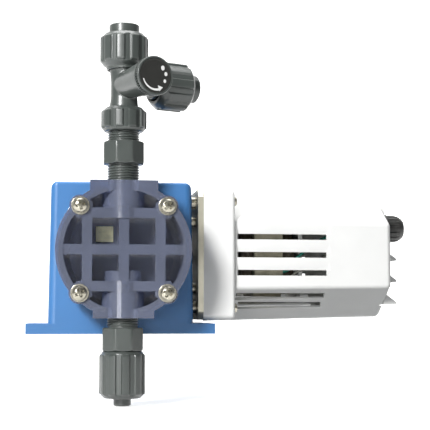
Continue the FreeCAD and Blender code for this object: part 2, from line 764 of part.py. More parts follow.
def valves():
    """Suction and discharge valves with their seats, balls and seals."""
    discharge_low = discharge_flat - s.socket_depth + 0.5
    valve_body("discharge_valve_body", discharge_flat, s.valve_neck, "up",
               s.upper_neck + s.union_nut_length / 3, s.seat_thickness + 12.5, s.seat_thickness)
    keep(tube(s.cage_radius + 1.9, s.seat_bore, s.seat_thickness, (0, valve_y, discharge_low)),
         "discharge_seat")
    valve_ball("discharge_ball", discharge_low + s.seat_thickness)
    cage = s.socket_depth - 2.5
    valve_body("suction_valve_body", suction_flat, s.suction_neck, "down",
               s.suction_nut_length * 0.6, cage, 0)
    seat_low = suction_flat + s.socket_depth - 0.5 - cage
    keep(tube(s.cage_radius - 0.1, s.seat_bore, s.seat_thickness, (0, valve_y, seat_low)),
         "suction_seat")
    valve_ball("suction_ball", seat_low + s.seat_thickness)


def ribbed_nut(label, crest, length, wide_bore, wide_depth, lip_bore, spot, along):
    """Hand nut with ribs round it, open at its base and lipped at its far end."""
    body = new_body(label)
    core = crest - s.nut_rib_depth
    chamfer = s.nut_chamfer
    rib_half = s.nut_rib_width / 2
    sketch = new_sketch(body, "XZ_Plane")
    draw_polygon(sketch, [(wide_bore, 0), (core, 0), (core, length - chamfer),
                          (core - chamfer, length), (lip_bore, length), (lip_bore, wide_depth),
                          (wide_bore, wide_depth)])
    base = body.newObject("PartDesign::Revolution", "revolution")
    base.Profile = sketch
    base.ReferenceAxis = (sketch, ["V_Axis"])
    base.Angle = 360
    rib = new_sketch(body, "XY_Plane", 1)
    draw_rectangle(rib, core - 1, crest, -rib_half, rib_half)
    ribs = pad(body, rib, length - chamfer - 1.5)
    around(body, [ribs], int(s.nut_rib_count.number))
    place(body, spot, along)
    keep(body, label)


def fittings():
    """Nuts and connectors of the suction and discharge lines."""
    thread = s.thread_radius + s.fit_gap
    ribbed_nut("discharge_union_nut", s.nut_crest_radius, s.union_nut_length, thread,
               s.union_nut_length - 4, s.tee_radius + s.fit_gap, (0, valve_y, union_nut_base), "up")
    ribbed_nut("discharge_tube_nut", s.top_nut_radius, s.top_nut_length, thread,
               s.top_nut_length - 5, stem_radius + s.lip_gap, (0, valve_y, top_nut_base), "up")
    ribbed_nut("suction_tube_nut", s.nut_crest_radius, s.suction_nut_length, thread,
               s.suction_nut_length - 5, s.suction_tip_radius + s.fit_gap,
               (0, valve_y, suction_nut_top), "down")
    connector("discharge_connector", s.end_ring_radius, stem_radius, s.top_nut_length,
              s.end_ring_length, s.top_nut_length * 0.6, (0, valve_y, top_nut_base), "up")
    connector("suction_connector", s.suction_tip_radius, s.suction_tip_radius - 0.3,
              s.suction_nut_length, s.suction_tip_length, s.suction_nut_length * 0.65,
              (0, valve_y, suction_nut_top), "down")


def connector(label, ring, stem, nut_length, ring_length, start, spot, along):
    """Tube connector: a collar held inside the nut, a stem through its lip and an end ring."""
    collar = s.thread_radius - 0.5
    inside = nut_length - 5.2
    profile = [(s.flow_radius, start), (collar, start), (collar, inside), (stem, inside),
               (stem, nut_length), (ring, nut_length), (ring, nut_length + ring_length - 0.8),
               (ring - 0.8, nut_length + ring_length), (s.flow_radius, nut_length + ring_length)]
    keep(turned(profile, spot, along), label)


# ---------------------------------------------------------------- bleed valve

def bleed_spot(reach, height):
    """A place on the bleed knob's axis, a reach away from the tee."""
    return (bleed_x * reach, valve_y + bleed_y * reach, height)


def port_spot(reach):
    """A place on the bleed port's axis, a reach away from the tee."""
    return (-bleed_y * reach, valve_y + bleed_x * reach, s.port_height)


def bleed_valve_body():
    """Tee on top of the discharge valve with a barrel for the knob and a side port."""
    lip = s.union_nut_length - 4
    collar_base = union_nut_base + s.union_nut_length / 3 + s.slack
    lip_base = union_nut_base + lip
    thread_end = top_nut_base + s.top_nut_length * 0.6 - s.slack
    stem = turned([(0, 0), (s.thread_radius - 0.5, 0), (s.thread_radius - 0.5, lip_base - collar_base),
                   (s.tee_radius, lip_base - collar_base), (s.tee_radius, top_nut_base - collar_base),
                   (s.thread_radius, top_nut_base - collar_base),
                   (s.thread_radius, thread_end - collar_base), (0, thread_end - collar_base)],
                  (0, valve_y, collar_base))
    barrel = turned([(0, 0), (s.barrel_root_radius, 0), (s.barrel_end_radius, s.barrel_reach),
                     (0, s.barrel_reach)], bleed_spot(0, s.bleed_height), "bleed")
    port_end = s.port_nut_start + s.port_nut_length * 0.6
    port = turned([(0, 0), (s.port_root_radius, 0), (s.port_root_radius, s.port_nut_start - 0.5),
                   (s.thread_radius, s.port_nut_start - 0.5), (s.thread_radius, port_end),
                   (0, port_end)], port_spot(0), "port")
    flow = rod(s.flow_radius, thread_end - collar_base, (0, valve_y, collar_base))
    stuffing = rod(s.knob_hub_radius + s.shaft_clearance, s.barrel_reach - 8,
                   bleed_spot(8, s.bleed_height), "bleed")
    side_flow = rod(s.flow_radius, port_end, port_spot(0), "port")
    keep(cut(fused([stem, barrel, port]), [flow, stuffing, side_flow]), "bleed_valve_body")


def bleed_controls():
    """Bleed knob with its marked disc, and the spindle that it draws out."""
    stem = 12
    recess = 0.6
    back = s.barrel_reach + s.slack - stem
    length = stem + s.bleed_knob_length
    bore = s.spindle_radius + s.shaft_clearance
    disc = s.bleed_knob_radius - 1.4
    profile = [(bore, 0), (s.knob_hub_radius, 0), (s.knob_hub_radius, stem),
               (s.bleed_knob_radius, stem), (s.bleed_knob_radius, length), (disc, length),
               (disc, length - recess), (0, length - recess), (0, stem + 2), (bore, stem + 2)]
    keep(turned(profile, bleed_spot(back, s.bleed_height), "bleed"), "bleed_knob")
    keep(rod(disc - 0.1, recess, bleed_spot(back + length - recess, s.bleed_height), "bleed"),
         "bleed_knob_disc")
    reach = back + stem - 3
    profile = [(0, 0), (s.spindle_radius, 4), (s.spindle_radius, reach - 10), (0, reach - 10)]
    keep(turned(profile, bleed_spot(10, s.bleed_height), "bleed"), "bleed_spindle")


def bleed_port():
    """Nut and connector of the bleed port."""
    ribbed_nut("bleed_port_nut", s.port_nut_radius, s.port_nut_length, s.thread_radius + s.fit_gap,
               s.port_nut_length - 5, stem_radius + s.lip_gap, port_spot(s.port_nut_start), "port")
    connector("bleed_port_connector", s.end_ring_radius - 0.4, stem_radius,
              s.port_nut_length, s.port_ring_length, s.port_nut_length * 0.6,
              port_spot(s.port_nut_start), "port")


# ---------------------------------------------------------------- plunger drive

def plunger():
    """Rod and follower plate that carry the eccentric's push to the diaphragm."""
    shaft = rod(s.plunger_radius, follower_front - plunger_tip + 1,
                (0, follower_front + 1, s.head_height), "front")
    plate = block((-s.follower_half, follower_front, s.head_height - s.follower_drop),
                  (s.follower_half, follower_face, stop_height + s.follower_rise))
    keep(fused([shaft, plate]), "plunger")


def plunger_guide():
    """Bush in the housing's front wall that guides the plunger."""
    length = s.housing_wall + 5
    bore = s.plunger_radius + s.plunger_clearance
    flange = s.guide_radius + s.guide_flange
    thick = s.guide_flange_thickness
    profile = [(bore, 0), (flange, 0), (flange, thick), (s.guide_radius, thick),
               (s.guide_radius, length + thick), (bore, length + thick)]
    keep(turned(profile, (0, front_face + length + thick, s.head_height), "front"), "plunger_guide")


def return_spring():
    """Coil spring between the guide and the follower plate."""
    start = front_face + s.housing_wall + 5 + s.guide_flange_thickness + s.slack
    wire = float(s.spring_wire)
    length = float(follower_front - s.slack) - float(start) - 2 * wire
    helix = Part.makeHelix(length / float(s.spring_turns), length, float(s.spring_radius))
    ring = Part.Circle(FreeCAD.Vector(float(s.spring_radius), 0, 0), FreeCAD.Vector(0, 1, 0), wire)
    section = Part.Wire([ring.toShape()])
    item = doc.addObject("Part::Feature", "return_spring")
    item.Shape = Part.Wire(helix.Edges).makePipeShell([section], True, True)
    item.Placement = FreeCAD.Placement(
        FreeCAD.Vector(0, float(start) + wire, float(s.head_height)), ALONG["back"])
    keep(item, "return_spring")


def tooth_outline(teeth, module, thinning):
    """Closed wire of an involute spur gear about the origin, with a tooth centred on +X."""
    pressure = math.radians(25)
    pitch_radius = teeth * module / 2
    base_radius = pitch_radius * math.cos(pressure)
    tip_radius = pitch_radius + module
    root_radius = pitch_radius - 1.25 * module
    start_radius = max(base_radius, root_radius)
    half_at_pitch = (math.pi * module / 2 - thinning) / (2 * pitch_radius)
    involute = math.tan(pressure) - pressure

    def half_angle(radius):
        local = math.acos(min(1.0, base_radius / radius))
        return half_at_pitch + involute - (math.tan(local) - local)

    def at(radius, angle):
        return FreeCAD.Vector(radius * math.cos(angle), radius * math.sin(angle), 0)

    steps = 5
    radii = [start_radius + (tip_radius - start_radius) * i / steps for i in range(steps + 1)]
    turn = 2 * math.pi / teeth
    edges = []
    for tooth in range(teeth):
        middle = tooth * turn
        flank = half_angle(start_radius)
        rising = [at(r, middle - half_angle(r)) for r in radii]
        falling = [at(r, middle + half_angle(r)) for r in reversed(radii)]
        if root_radius < start_radius:
            edges.append(Part.makeLine(at(root_radius, middle - flank), rising[0]))
        edges.append(spline_through(rising))
        edges.append(Part.Arc(rising[-1], at(tip_radius, middle), falling[0]).toShape())
        edges.append(spline_through(falling))
        if root_radius < start_radius:
            edges.append(Part.makeLine(falling[-1], at(root_radius, middle + flank)))
        gap_start = at(root_radius, middle + flank)
        gap_end = at(root_radius, middle + turn - flank)
        edges.append(Part.Arc(gap_start, at(root_radius, middle + turn / 2), gap_end).toShape())
    return Part.Wire(edges)


def spline_through(points):
    """A smooth edge through points."""
    curve = Part.BSplineCurve()
    curve.interpolate(points)
    return curve.toShape()


def gear(label, teeth, module, width, bore, spot, towards, gap_first):
    """Spur gear along X; a tooth, or a gap when gap_first is set, points at another shaft."""
    outline = tooth_outline(int(teeth.number), float(module), float(s.tooth_backlash))
    blank = Part.Face(outline).extrude(FreeCAD.Vector(0, 0, float(width)))
    shape = blank.cut(Part.makeCylinder(float(bore), float(width)))
    across = float(towards[0]) - float(spot[1])
    up = float(towards[1]) - float(spot[2])
    angle = math.degrees(math.atan2(across, -up))
    if gap_first:
        angle += 180 / int(teeth.number)
    item = doc.addObject("Part::Feature", label)
    item.Shape = shape
    spin = FreeCAD.Rotation(FreeCAD.Vector(0, 0, 1), angle)
    item.Placement = FreeCAD.Placement(
        FreeCAD.Vector(*[float(value) for value in spot]), ALONG["right"] * spin)
    keep(item, label)


def gear_train():
    """Motor pinion, idler pair and output wheel."""
    motor = (sized(0), s.motor_height)
    idler = (idler_y, idler_z)
    output = (s.output_y, s.head_height)
    gear("motor_pinion", s.pinion_teeth, s.first_module, first_wheel_width + 2,
         s.pinion_bore, (first_wheel_start - 1, *motor), idler, False)
    gear("idler_wheel", s.wheel_teeth, s.first_module, first_wheel_width, s.idler_radius,
         (first_wheel_start, *idler), motor, True)
    gear("idler_pinion", s.pinion_teeth, s.second_module, wheel_width + 1, s.idler_radius,
         (wheel_start - 0.5, *idler), output, False)
    gear("output_wheel", s.wheel_teeth, s.second_module, wheel_width, s.output_shaft_radius,
         (wheel_start, *output), idler, True)


def shafts():
    """Idler shaft, and the output shaft with its eccentric and the bearing on it."""
    idler_start = s.gear_plate_x - 0.5
    keep(rod(s.idler_radius, wall_inside + 1.5 - idler_start, (idler_start, idler_y, idler_z),
             "right"), "idler_shaft")
    left_end = -wall_inside - 1.5
    right_end = wheel_start + wheel_width + 1
    straight = rod(s.output_shaft_radius, right_end - left_end,
                   (left_end, s.output_y, s.head_height), "right")
    cam_y = s.output_y - s.eccentricity
    eccentric = rod(s.eccentric_radius, s.cam_width, (-s.cam_width / 2, cam_y, s.head_height), "right")
    keep(fused([straight, eccentric]), "output_shaft")
    keep(tube(s.cam_bearing_radius, s.eccentric_radius, s.cam_width,
              (-s.cam_width / 2, cam_y, s.head_height), "right"), "cam_bearing")


def bushes():
    """Bearing bushes of the idler and output shafts."""
    idler_bore = s.idler_radius + s.shaft_clearance
    idler_outer = s.idler_radius + s.bush_wall
    output_bore = s.output_shaft_radius + s.shaft_clearance
    output_outer = s.output_shaft_radius + s.bush_wall
    group("gear_bushes", [
        tube(idler_outer, idler_bore, s.gear_plate_thickness,
             (s.gear_plate_x, idler_y, idler_z), "right"),
        tube(idler_outer, idler_bore, 7, (wall_inside - 4, idler_y, idler_z), "right"),
        tube(output_outer, output_bore, s.gear_plate_thickness,
             (s.gear_plate_x, s.output_y, s.head_height), "right"),
        tube(output_outer, output_bore, 10, (-wall_inside - 2.5, s.output_y, s.head_height),
             "right")])


def pillar_spots():
    """Where the gear plate's pillars stand, as (y, z)."""
    return [(y, z) for y in (-s.pillar_y, s.pillar_y) for z in (s.pillar_low, s.pillar_high)]


def gear_plate():
    """Steel plate inside the housing that carries the left ends of the gear shafts."""
    body = new_body("gear_plate")
    outline = new_sketch(body, "YZ_Plane", s.gear_plate_x)
    margin = s.pillar_radius + 1
    draw_rectangle(outline, -s.pillar_y - margin, s.pillar_y + margin,
                   s.pillar_low - margin, s.pillar_high + margin)
    pad(body, outline, s.gear_plate_thickness)
    holes = new_sketch(body, "YZ_Plane", s.gear_plate_x)
    draw_circle(holes, idler_y, idler_z, s.idler_radius + s.bush_wall)
    draw_circle(holes, s.output_y, s.head_height, s.output_shaft_radius + s.bush_wall)
    for y, z in pillar_spots():
        draw_circle(holes, y, z, 2.1)
    pocket(body, holes, s.gear_plate_thickness, forward=True)
    keep(body, "gear_plate")
    group("gear_plate_pillars", [tube(s.pillar_radius, 2.05, wall_inside - gear_plate_back,
                                      (gear_plate_back, y, z), "right") for y, z in pillar_spots()])
    group("gear_plate_screws", [screw(3.5, 2.6, 2, 14, (s.gear_plate_x, y, z), "left")
                                for y, z in pillar_spots()])


# ---------------------------------------------------------------- motor

def motor_spots():
    """Where the motor's through bolts stand, as (y, z)."""
    return [(y, s.motor_height + z) for y, z in corners_of(s.motor_bolt_offset, s.motor_bolt_offset)]


def standoff_spots():
    """Where the motor plate is screwed to the housing, as (y, z)."""
    return [(y, s.motor_height + z)
            for y, z in corners_of(s.standoff_y, s.standoff_z)]


def cover_screw_spots():
    """Where the motor cover is screwed to the plate, as (y, z)."""
    reach = s.flange_size / 2 - 6.5
    return [(y, s.motor_height + z) for y, z in corners_of(reach, reach - 2)]


def motor_plate():
    """Steel plate with cut corners that carries the motor beside the housing."""
    body = new_body("motor_plate")
    half = s.flange_size / 2
    clip = s.plate_clip
    outline = new_sketch(body, "YZ_Plane", plate_x)
    low = s.motor_height - half
    high = s.motor_height + half
    draw_polygon(outline, [(-half + clip, low), (half - clip, low), (half, low + clip),
                           (half, high - clip), (half - clip, high), (-half + clip, high),
                           (-half, high - clip), (-half, low + clip)])
    pad(body, outline, s.plate_thickness)
    holes = new_sketch(body, "YZ_Plane", plate_x)
    draw_circle(holes, 0, s.motor_height, s.shaft_opening)
    for y, z in motor_spots() + standoff_spots() + cover_screw_spots():
        draw_circle(holes, y, z, 2.15)
    pocket(body, holes, s.plate_thickness, forward=True)
    keep(body, "motor_plate")


def motor_fasteners():
    """Plate screws, through bolts, the spacer sleeves on both, and the cover's screws."""
    group("plate_screws", [screw(3.5, 2.6, 2, 12, (plate_back, y, z), "right")
                           for y, z in standoff_spots()])
    bolt_length = rear_bracket_x + s.bracket_thickness + 2 - plate_x
    group("motor_bolts", [screw(3.7, 3, s.motor_bolt_radius, bolt_length, (plate_x, y, z), "left")
                          for y, z in motor_spots()])
    sleeves = [tube(s.standoff_radius, 2.15, plate_x - standoff_pad, (standoff_pad, y, z),
                    "right") for y, z in standoff_spots()]
    for start, end in ((plate_back, front_bracket_x),
                       (front_bracket_x + s.bracket_thickness, stator_start),
                       (stator_end, rear_bracket_x)):
        sleeves += [tube(3.6, 2.15, end - start, (start, y, z), "right") for y, z in motor_spots()]
    group("spacer_sleeves", sleeves)
    group("cover_screws", [screw(3.4, 2.4, 2, s.flange_length + 2, (flange_end, y, z), "right")
                           for y, z in cover_screw_spots()])


def octagon_corners(half, corner):
    """A square about the motor's axis with its corners cut off, as (y, z)."""
    near = half - corner
    mid = s.motor_height
    return [(half, mid - near), (half, mid + near), (near, mid + half), (-near, mid + half),
            (-half, mid + near), (-half, mid - near), (-near, mid - half), (near, mid - half)]


def stator():
    """Lamination stack and the end turns of its winding."""
    body = new_body("motor_stator")
    outline = new_sketch(body, "YZ_Plane", stator_start)
    draw_polygon(outline, octagon_corners(s.stator_half, s.stator_corner))
    pad(body, outline, s.stator_length)
    holes = new_sketch(body, "YZ_Plane", stator_start)
    draw_circle(holes, 0, s.motor_height, s.stator_bore)
    for y, z in motor_spots():
        draw_circle(holes, y, z, 2.15)
    pocket(body, holes, s.stator_length, forward=True)
    keep(body, "motor_stator")
    inner = s.stator_bore + 1
    outer = s.coil_radius
    profile = [(inner, 0), (outer, 0), (outer, s.coil_length - 3), (outer - 3, s.coil_length),
               (inner + 2, s.coil_length), (inner, s.coil_length - 2)]
    group("motor_coils", [turned(profile, (stator_start, 0, s.motor_height), "left"),
                          turned(profile, (stator_end, 0, s.motor_height), "right")])


def brackets():
    """Bearing brackets at both ends of the motor, and the bearings in them."""
    bearing_radius = s.motor_shaft_radius + 4
    for label, start in (("front_bracket", front_bracket_x), ("rear_bracket", rear_bracket_x)):
        body = new_body(label)
        outline = new_sketch(body, "YZ_Plane", start)
        draw_polygon(outline, octagon_corners(s.stator_half - 2, s.stator_corner - 2))
        pad(body, outline, s.bracket_thickness)
        hub = new_sketch(body, "YZ_Plane", start)
        draw_circle(hub, 0, s.motor_height, bearing_radius + 3)
        pad(body, hub, s.bracket_thickness + 3)
        holes = new_sketch(body, "YZ_Plane", start)
        draw_circle(holes, 0, s.motor_height, bearing_radius)
        for y, z in motor_spots():
            draw_circle(holes, y, z, 2.15)
        pocket(body, holes, s.bracket_thickness + 4, forward=True)
        keep(body, label)
    group("motor_bearings", [
        tube(bearing_radius, s.motor_shaft_radius + s.shaft_clearance, 5,
             (start + 0.5, 0, s.motor_height), "right") for start in (front_bracket_x, rear_bracket_x)])


def rotor():
    """Rotor core, shaft and fan."""
    keep(tube(s.rotor_core_radius, s.motor_shaft_radius, s.stator_length + 3,
              (stator_start - 1.5, 0, s.motor_height), "right"), "rotor_core")
    start = first_wheel_start - 1
    journal = first_wheel_width + 3
    end = rear_bracket_x + s.bracket_thickness + 4
    profile = [(0, 0), (s.pinion_bore, 0), (s.pinion_bore, journal), (s.motor_shaft_radius, journal),
               (s.motor_shaft_radius, end - start), (0, end - start)]
    keep(turned(profile, (start, 0, s.motor_height), "right"), "rotor_shaft")
    fan = new_body("fan")
    hub = new_sketch(fan, "XY_Plane")
    draw_circle(hub, 0, 0, s.motor_shaft_radius + 5)
    draw_circle(hub, 0, 0, s.motor_shaft_radius)
    pad(fan, hub, s.fan_length)
    disc = new_sketch(fan, "XY_Plane")
    draw_circle(disc, 0, 0, s.fan_radius - 6)
    draw_circle(disc, 0, 0, s.motor_shaft_radius)
    pad(fan, disc, 1.6)
    blade = new_sketch(fan, "XY_Plane")
    draw_rectangle(blade, s.motor_shaft_radius + 4, s.fan_radius, -0.9, 0.9)
    around(fan, [pad(fan, blade, s.fan_length)], 8)
    keep(place(fan, (plate_back + s.fan_gap, 0, s.motor_height), "right"), "fan")


# ---------------------------------------------------------------- motor cover

def hexagon_corners(side):
    """A hexagon about the motor's axis with upright front and rear faces, as (y, z)."""
    flat = side * math.sqrt(3) / 2
    mid = s.motor_height
    return [(-flat, mid - side / 2), (0, mid - side), (flat, mid - side / 2),
            (flat, mid + side / 2), (0, mid + side), (-flat, mid + side / 2)]


def tapered_hexagon(side, start, end):
    """A hexagonal block along X that narrows towards its far end by the cover's draft."""
    body = new_body("hexagon")
    outline = new_sketch(body, "YZ_Plane", start)
    draw_polygon(outline, hexagon_corners(side))
    return body, pad(body, outline, end - start, -s.cover_draft)


def cover_hood():
    """The outside of the hood, with its ridges, long edges and far end rounded."""
    start = plate_back + 5
    body, block_pad = tapered_hexagon(s.cover_side, start, cover_end)
    ridges = round_edges(body, block_pad, s.ridge_rounding,
                         lambda b: b.XMax - b.XMin > 50 and b.YMax < 2 and b.YMin > -2)
    sides = round_edges(body, ridges, 4,
                        lambda b: b.XMax - b.XMin > 50 and (b.YMin > 30 or b.YMax < -30))
    far = float(cover_end) - 0.1
    body.Tip = round_edges(body, sides, 3.6, lambda b: b.XMin > far)
    return body


def cover_flange():
    """The outside of the square flange."""
    body = new_body("flange")
    half = s.flange_size / 2
    outline = new_sketch(body, "YZ_Plane", plate_back)
    draw_rectangle(outline, -half, half, s.motor_height - half, s.motor_height + half)
    flange_pad = pad(body, outline, s.flange_length)
    rounded = round_edges(body, flange_pad, 4, lambda b: b.XMax - b.XMin > 5)
    far = float(flange_end) - 0.1
    body.Tip = round_edges(body, rounded, 2.5, lambda b: b.XMin > far)
    return body


def cover_shell():
    """Square flange and hexagonal hood, hollow and open towards the motor plate."""
    half = s.flange_size / 2 - 3
    mid = s.motor_height
    hollow = block((plate_back, -half, mid - half), (flange_end - 3, half, mid + half))
    inner = tapered_hexagon(s.cover_side - s.cover_wall * 1.155, flange_end - 4,
                            cover_end - s.cover_wall)[0]
    return cut(fused([cover_flange(), cover_hood()]), [hollow, inner])


def hood_heights():
    """Heights of the three drip hoods on the end wall."""
    return [s.motor_height + offset for offset in (sized(1), sized(-15.2), sized(-32))]


def drip_hoods(corners, half_width):
    """Three prisms across the end wall, one for each drip hood."""
    prisms = []
    for height in hood_heights():
        body = new_body("prism")
        outline = new_sketch(body, "XZ_Plane", -half_width)
        draw_polygon(outline, [(cover_end + x, height + z) for x, z in corners])
        pad(body, outline, 2 * half_width)
        prisms.append(body)
    return prisms


def cover_additions():
    """Screw bosses in the flange, the gland's pad and the drip hoods."""
    bosses = [rod(4.6, s.flange_length - 1, (plate_back, y, z), "right")
              for y, z in cover_screw_spots()]
    reach = s.gland_radius + 4
    gland_pad = block((cover_end - 1, -reach, s.gland_height - reach + 2),
                      (cover_end + 2, reach, s.gland_height + reach))
    hoods = drip_hoods([(-1, 5), (9, -2.5), (9, -4), (-1, -4)], sized(22))
    return bosses + [gland_pad] + hoods


def cover_openings():
    """Screw holes, the gland's hole and the vents under the drip hoods."""
    holes = [rod(2.15, s.flange_length, (plate_back, y, z), "right") for y, z in cover_screw_spots()]
    gland_hole = rod(8, s.cover_wall + 6, (cover_end - s.cover_wall - 2, 0, s.gland_height), "right")
    inside = -s.cover_wall - 1
    vents = drip_hoods([(inside, 1), (2, 1), (6, -2), (6, -5), (inside, -5)], sized(19))
    return holes + [gland_hole] + vents


def vent_slot(face, offset):
    """A slot tool on one face of the hood, numbered from the front face downwards."""
    length = s.slot_length
    item = doc.addObject("Part::Box", "slot")
    bind(item, "Length", length)
    bind(item, "Width", 16)
    bind(item, "Height", s.slot_height)
    angle = sized(60 * face)
    outward_y = -cosine(angle)
    outward_z = -sine(angle)
    up_y = -sine(angle)
    up_z = cosine(angle)
    depth = cover_apothem + 6
    rise = offset - s.slot_height / 2
    item.Placement = FreeCAD.Placement(
        FreeCAD.Vector(), FreeCAD.Rotation(FreeCAD.Vector(1, 0, 0), 60 * face))
    bind(item, "Placement.Base.x", flange_end + s.slot_start)
    bind(item, "Placement.Base.y", outward_y * depth + up_y * rise)
    bind(item, "Placement.Base.z", s.motor_height + outward_z * depth + up_z * rise)
    return item


def slot_ramp(offset, rear):
    """A tool that slopes the face of the hood down to the top of a slot."""
    item = doc.addObject("Part::Box", "ramp")
    tilt = math.degrees(math.atan2(s.ramp_depth.number, s.ramp_height.number))
    across = s.ramp_depth + 2
    length = s.slot_length + s.ramp_overrun
    bind(item, "Length", length)
    bind(item, "Width", across)
    bind(item, "Height", root(s.ramp_height * s.ramp_height + s.ramp_depth * s.ramp_depth))
    heading = 180 - s.cover_draft.number if rear else s.cover_draft.number
    spin = FreeCAD.Rotation(FreeCAD.Vector(0, 0, 1), heading)
    item.Placement = FreeCAD.Placement(
        FreeCAD.Vector(), spin * FreeCAD.Rotation(FreeCAD.Vector(1, 0, 0), tilt))
    near = flange_end + s.slot_start
    start = near + length if rear else near
    narrowing = (start - plate_back - 5) * math.tan(math.radians(s.cover_draft.number))
    inside = cover_apothem - narrowing - s.ramp_depth
    side = 1 if rear else -1
    bind(item, "Placement.Base.x", start)
    bind(item, "Placement.Base.y",
         side * (inside + across * math.cos(math.radians(tilt))))
    bind(item, "Placement.Base.z", s.motor_height + offset + s.slot_height / 2
         - across * math.sin(math.radians(tilt)))
    return item


def motor_cover():
    """The moulded cover with its vent slots and the ramps above them."""
    slots = []
    for face in (0, 3):
        slots += [vent_slot(face, s.slot_pitch * i) for i in (-1, 0, 1)]
    past_edge = s.cover_side - s.slot_pitch * 3
    for face, side in ((1, 1), (2, -1)):
        slots += [vent_slot(face, side * (past_edge - s.slot_pitch * i)) for i in (0, 1)]
    ramps = [slot_ramp(s.slot_pitch * i, rear) for i in (-1, 0, 1) for rear in (False, True)]
    whole = fused([cover_shell()] + cover_additions())
    keep(cut(whole, cover_openings() + slots + ramps), "motor_cover")


def cord_gland():
    """Domed gland in the end wall, empty where the mains cord would enter."""
    start = cover_end + 2
    tail = s.cover_wall + 4
    bore = 4
    profile = [(bore, -tail), (7.8, -tail), (7.8, 0), (s.gland_radius, 0), (s.gland_radius, 5),
               (s.gland_radius - 1, 5), (s.gland_radius - 1, s.gland_length * 0.6),
               (s.gland_radius - 4, s.gland_length), (bore, s.gland_length)]
    keep(turned(profile, (start, 0, s.gland_height), "right"), "cord_gland")


def lead(label, route):
    """A wire along straight runs joined by tangent arcs."""
    points = [FreeCAD.Vector(*[float(value) for value in point]) for point in route]
    edges = []
    start = points[0]
    for before, corner, after in zip(points, points[1:], points[2:]):
        coming = (before - corner).normalize()
        going = (after - corner).normalize()
        shorter = min(before.distanceToPoint(corner), after.distanceToPoint(corner))
        half_turn = (math.pi - coming.getAngle(going)) / 2
        trim = 0.45 * shorter
        radius = trim / math.tan(half_turn)
        first = corner + coming * trim
        last = corner + going * trim
        bisector = (coming + going).normalize()
        to_centre = math.hypot(radius, trim)
        middle = corner + bisector * (to_centre - radius)
        edges.append(Part.LineSegment(start, first).toShape())
        edges.append(Part.Arc(first, middle, last).toShape())
        start = last
    edges.append(Part.LineSegment(start, points[-1]).toShape())
    heading = points[1] - points[0]
    ring = Part.Circle(points[0], heading, float(s.wire_radius)).toShape()
    item = doc.addObject("Part::Feature", label)
    item.Shape = Part.Wire(edges).makePipeShell([Part.Wire([ring])], True, False)
    return item


def wiring():
    """Earth wire and two supply leads from the stator to the gland."""
    axis = s.motor_height
    gland = cover_end - s.cover_wall - 3
    keep(lead("earth", [(stator_end, -30, axis - 12), (stator_end + 5, -30, axis - 12),
                        (stator_end + 10, -34, axis - 2), (stator_end + 19, -34, axis + 5),
                        (stator_end + 32, -29, axis + 14), (stator_end + 50, -16, s.gland_height - 4),
                        (gland, -2.2, s.gland_height + 1.6)]), "ground_wire")
    front = [(stator_end, -30, axis - 18), (stator_end + 5, -30, axis - 18),
             (stator_end + 11, -34, axis - 11), (stator_end + 24, -33, axis - 8),
             (stator_end + 40, -21, axis + 6), (stator_end + 56, -10, s.gland_height - 8),
             (gland, 0, s.gland_height - 2.4)]
    rear = [(stator_end, 30, axis - 12), (stator_end + 5, 30, axis - 12),
            (stator_end + 11, 34, axis - 4), (stator_end + 24, 33, axis + 6),
            (stator_end + 38, 21, axis + 14), (stator_end + 54, 9, s.gland_height - 3),
            (gland, 2.4, s.gland_height + 1.6)]
    group("supply_leads", [lead("front_lead", front), lead("rear_lead", rear)])


# ---------------------------------------------------------------- build, check and write

def build_all():
    """Makes every sub-part."""
    gear_housing()
    rear_gasket()
    rear_cover()
    rear_screws()
    stroke_stop()
    stroke_knob()
    pump_head()
    head_fasteners()
    backing_plate()
    diaphragm()
    inspection_label()
    valves()
    fittings()
    bleed_valve_body()
    bleed_controls()
    bleed_port()
    plunger()
    plunger_guide()
    return_spring()
    gear_train()
    shafts()
    bushes()
    gear_plate()
    motor_plate()
    motor_fasteners()
    stator()
    brackets()
    rotor()
    motor_cover()
    cord_gland()
    wiring()
    doc.recompute()


def check_all():
    """Stops if any object failed or any sub-part is empty or broken."""
    for item in doc.Objects:
        if "Invalid" in item.State or "Error" in item.State:
            raise RuntimeError(f"{item.Name} ({item.Label}) failed: {item.State}")
    for item in parts_made:
        if item.Shape.isNull() or not item.Shape.isValid() or not item.Shape.Solids:
            raise RuntimeError(f"{item.Label} has no valid solid")


def write_all():
    """Writes one STEP file for each sub-part."""
    os.makedirs("parts", exist_ok=True)
    for item in parts_made:
        item.Shape.exportStep(f"parts/{item.Label}.step")


build_all()
check_all()
write_all()
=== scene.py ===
"""Looks of the diaphragm metering pump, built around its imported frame. Sizes here are in metres."""

import json
import math

import bmesh
import bpy
from mathutils import Matrix, Vector


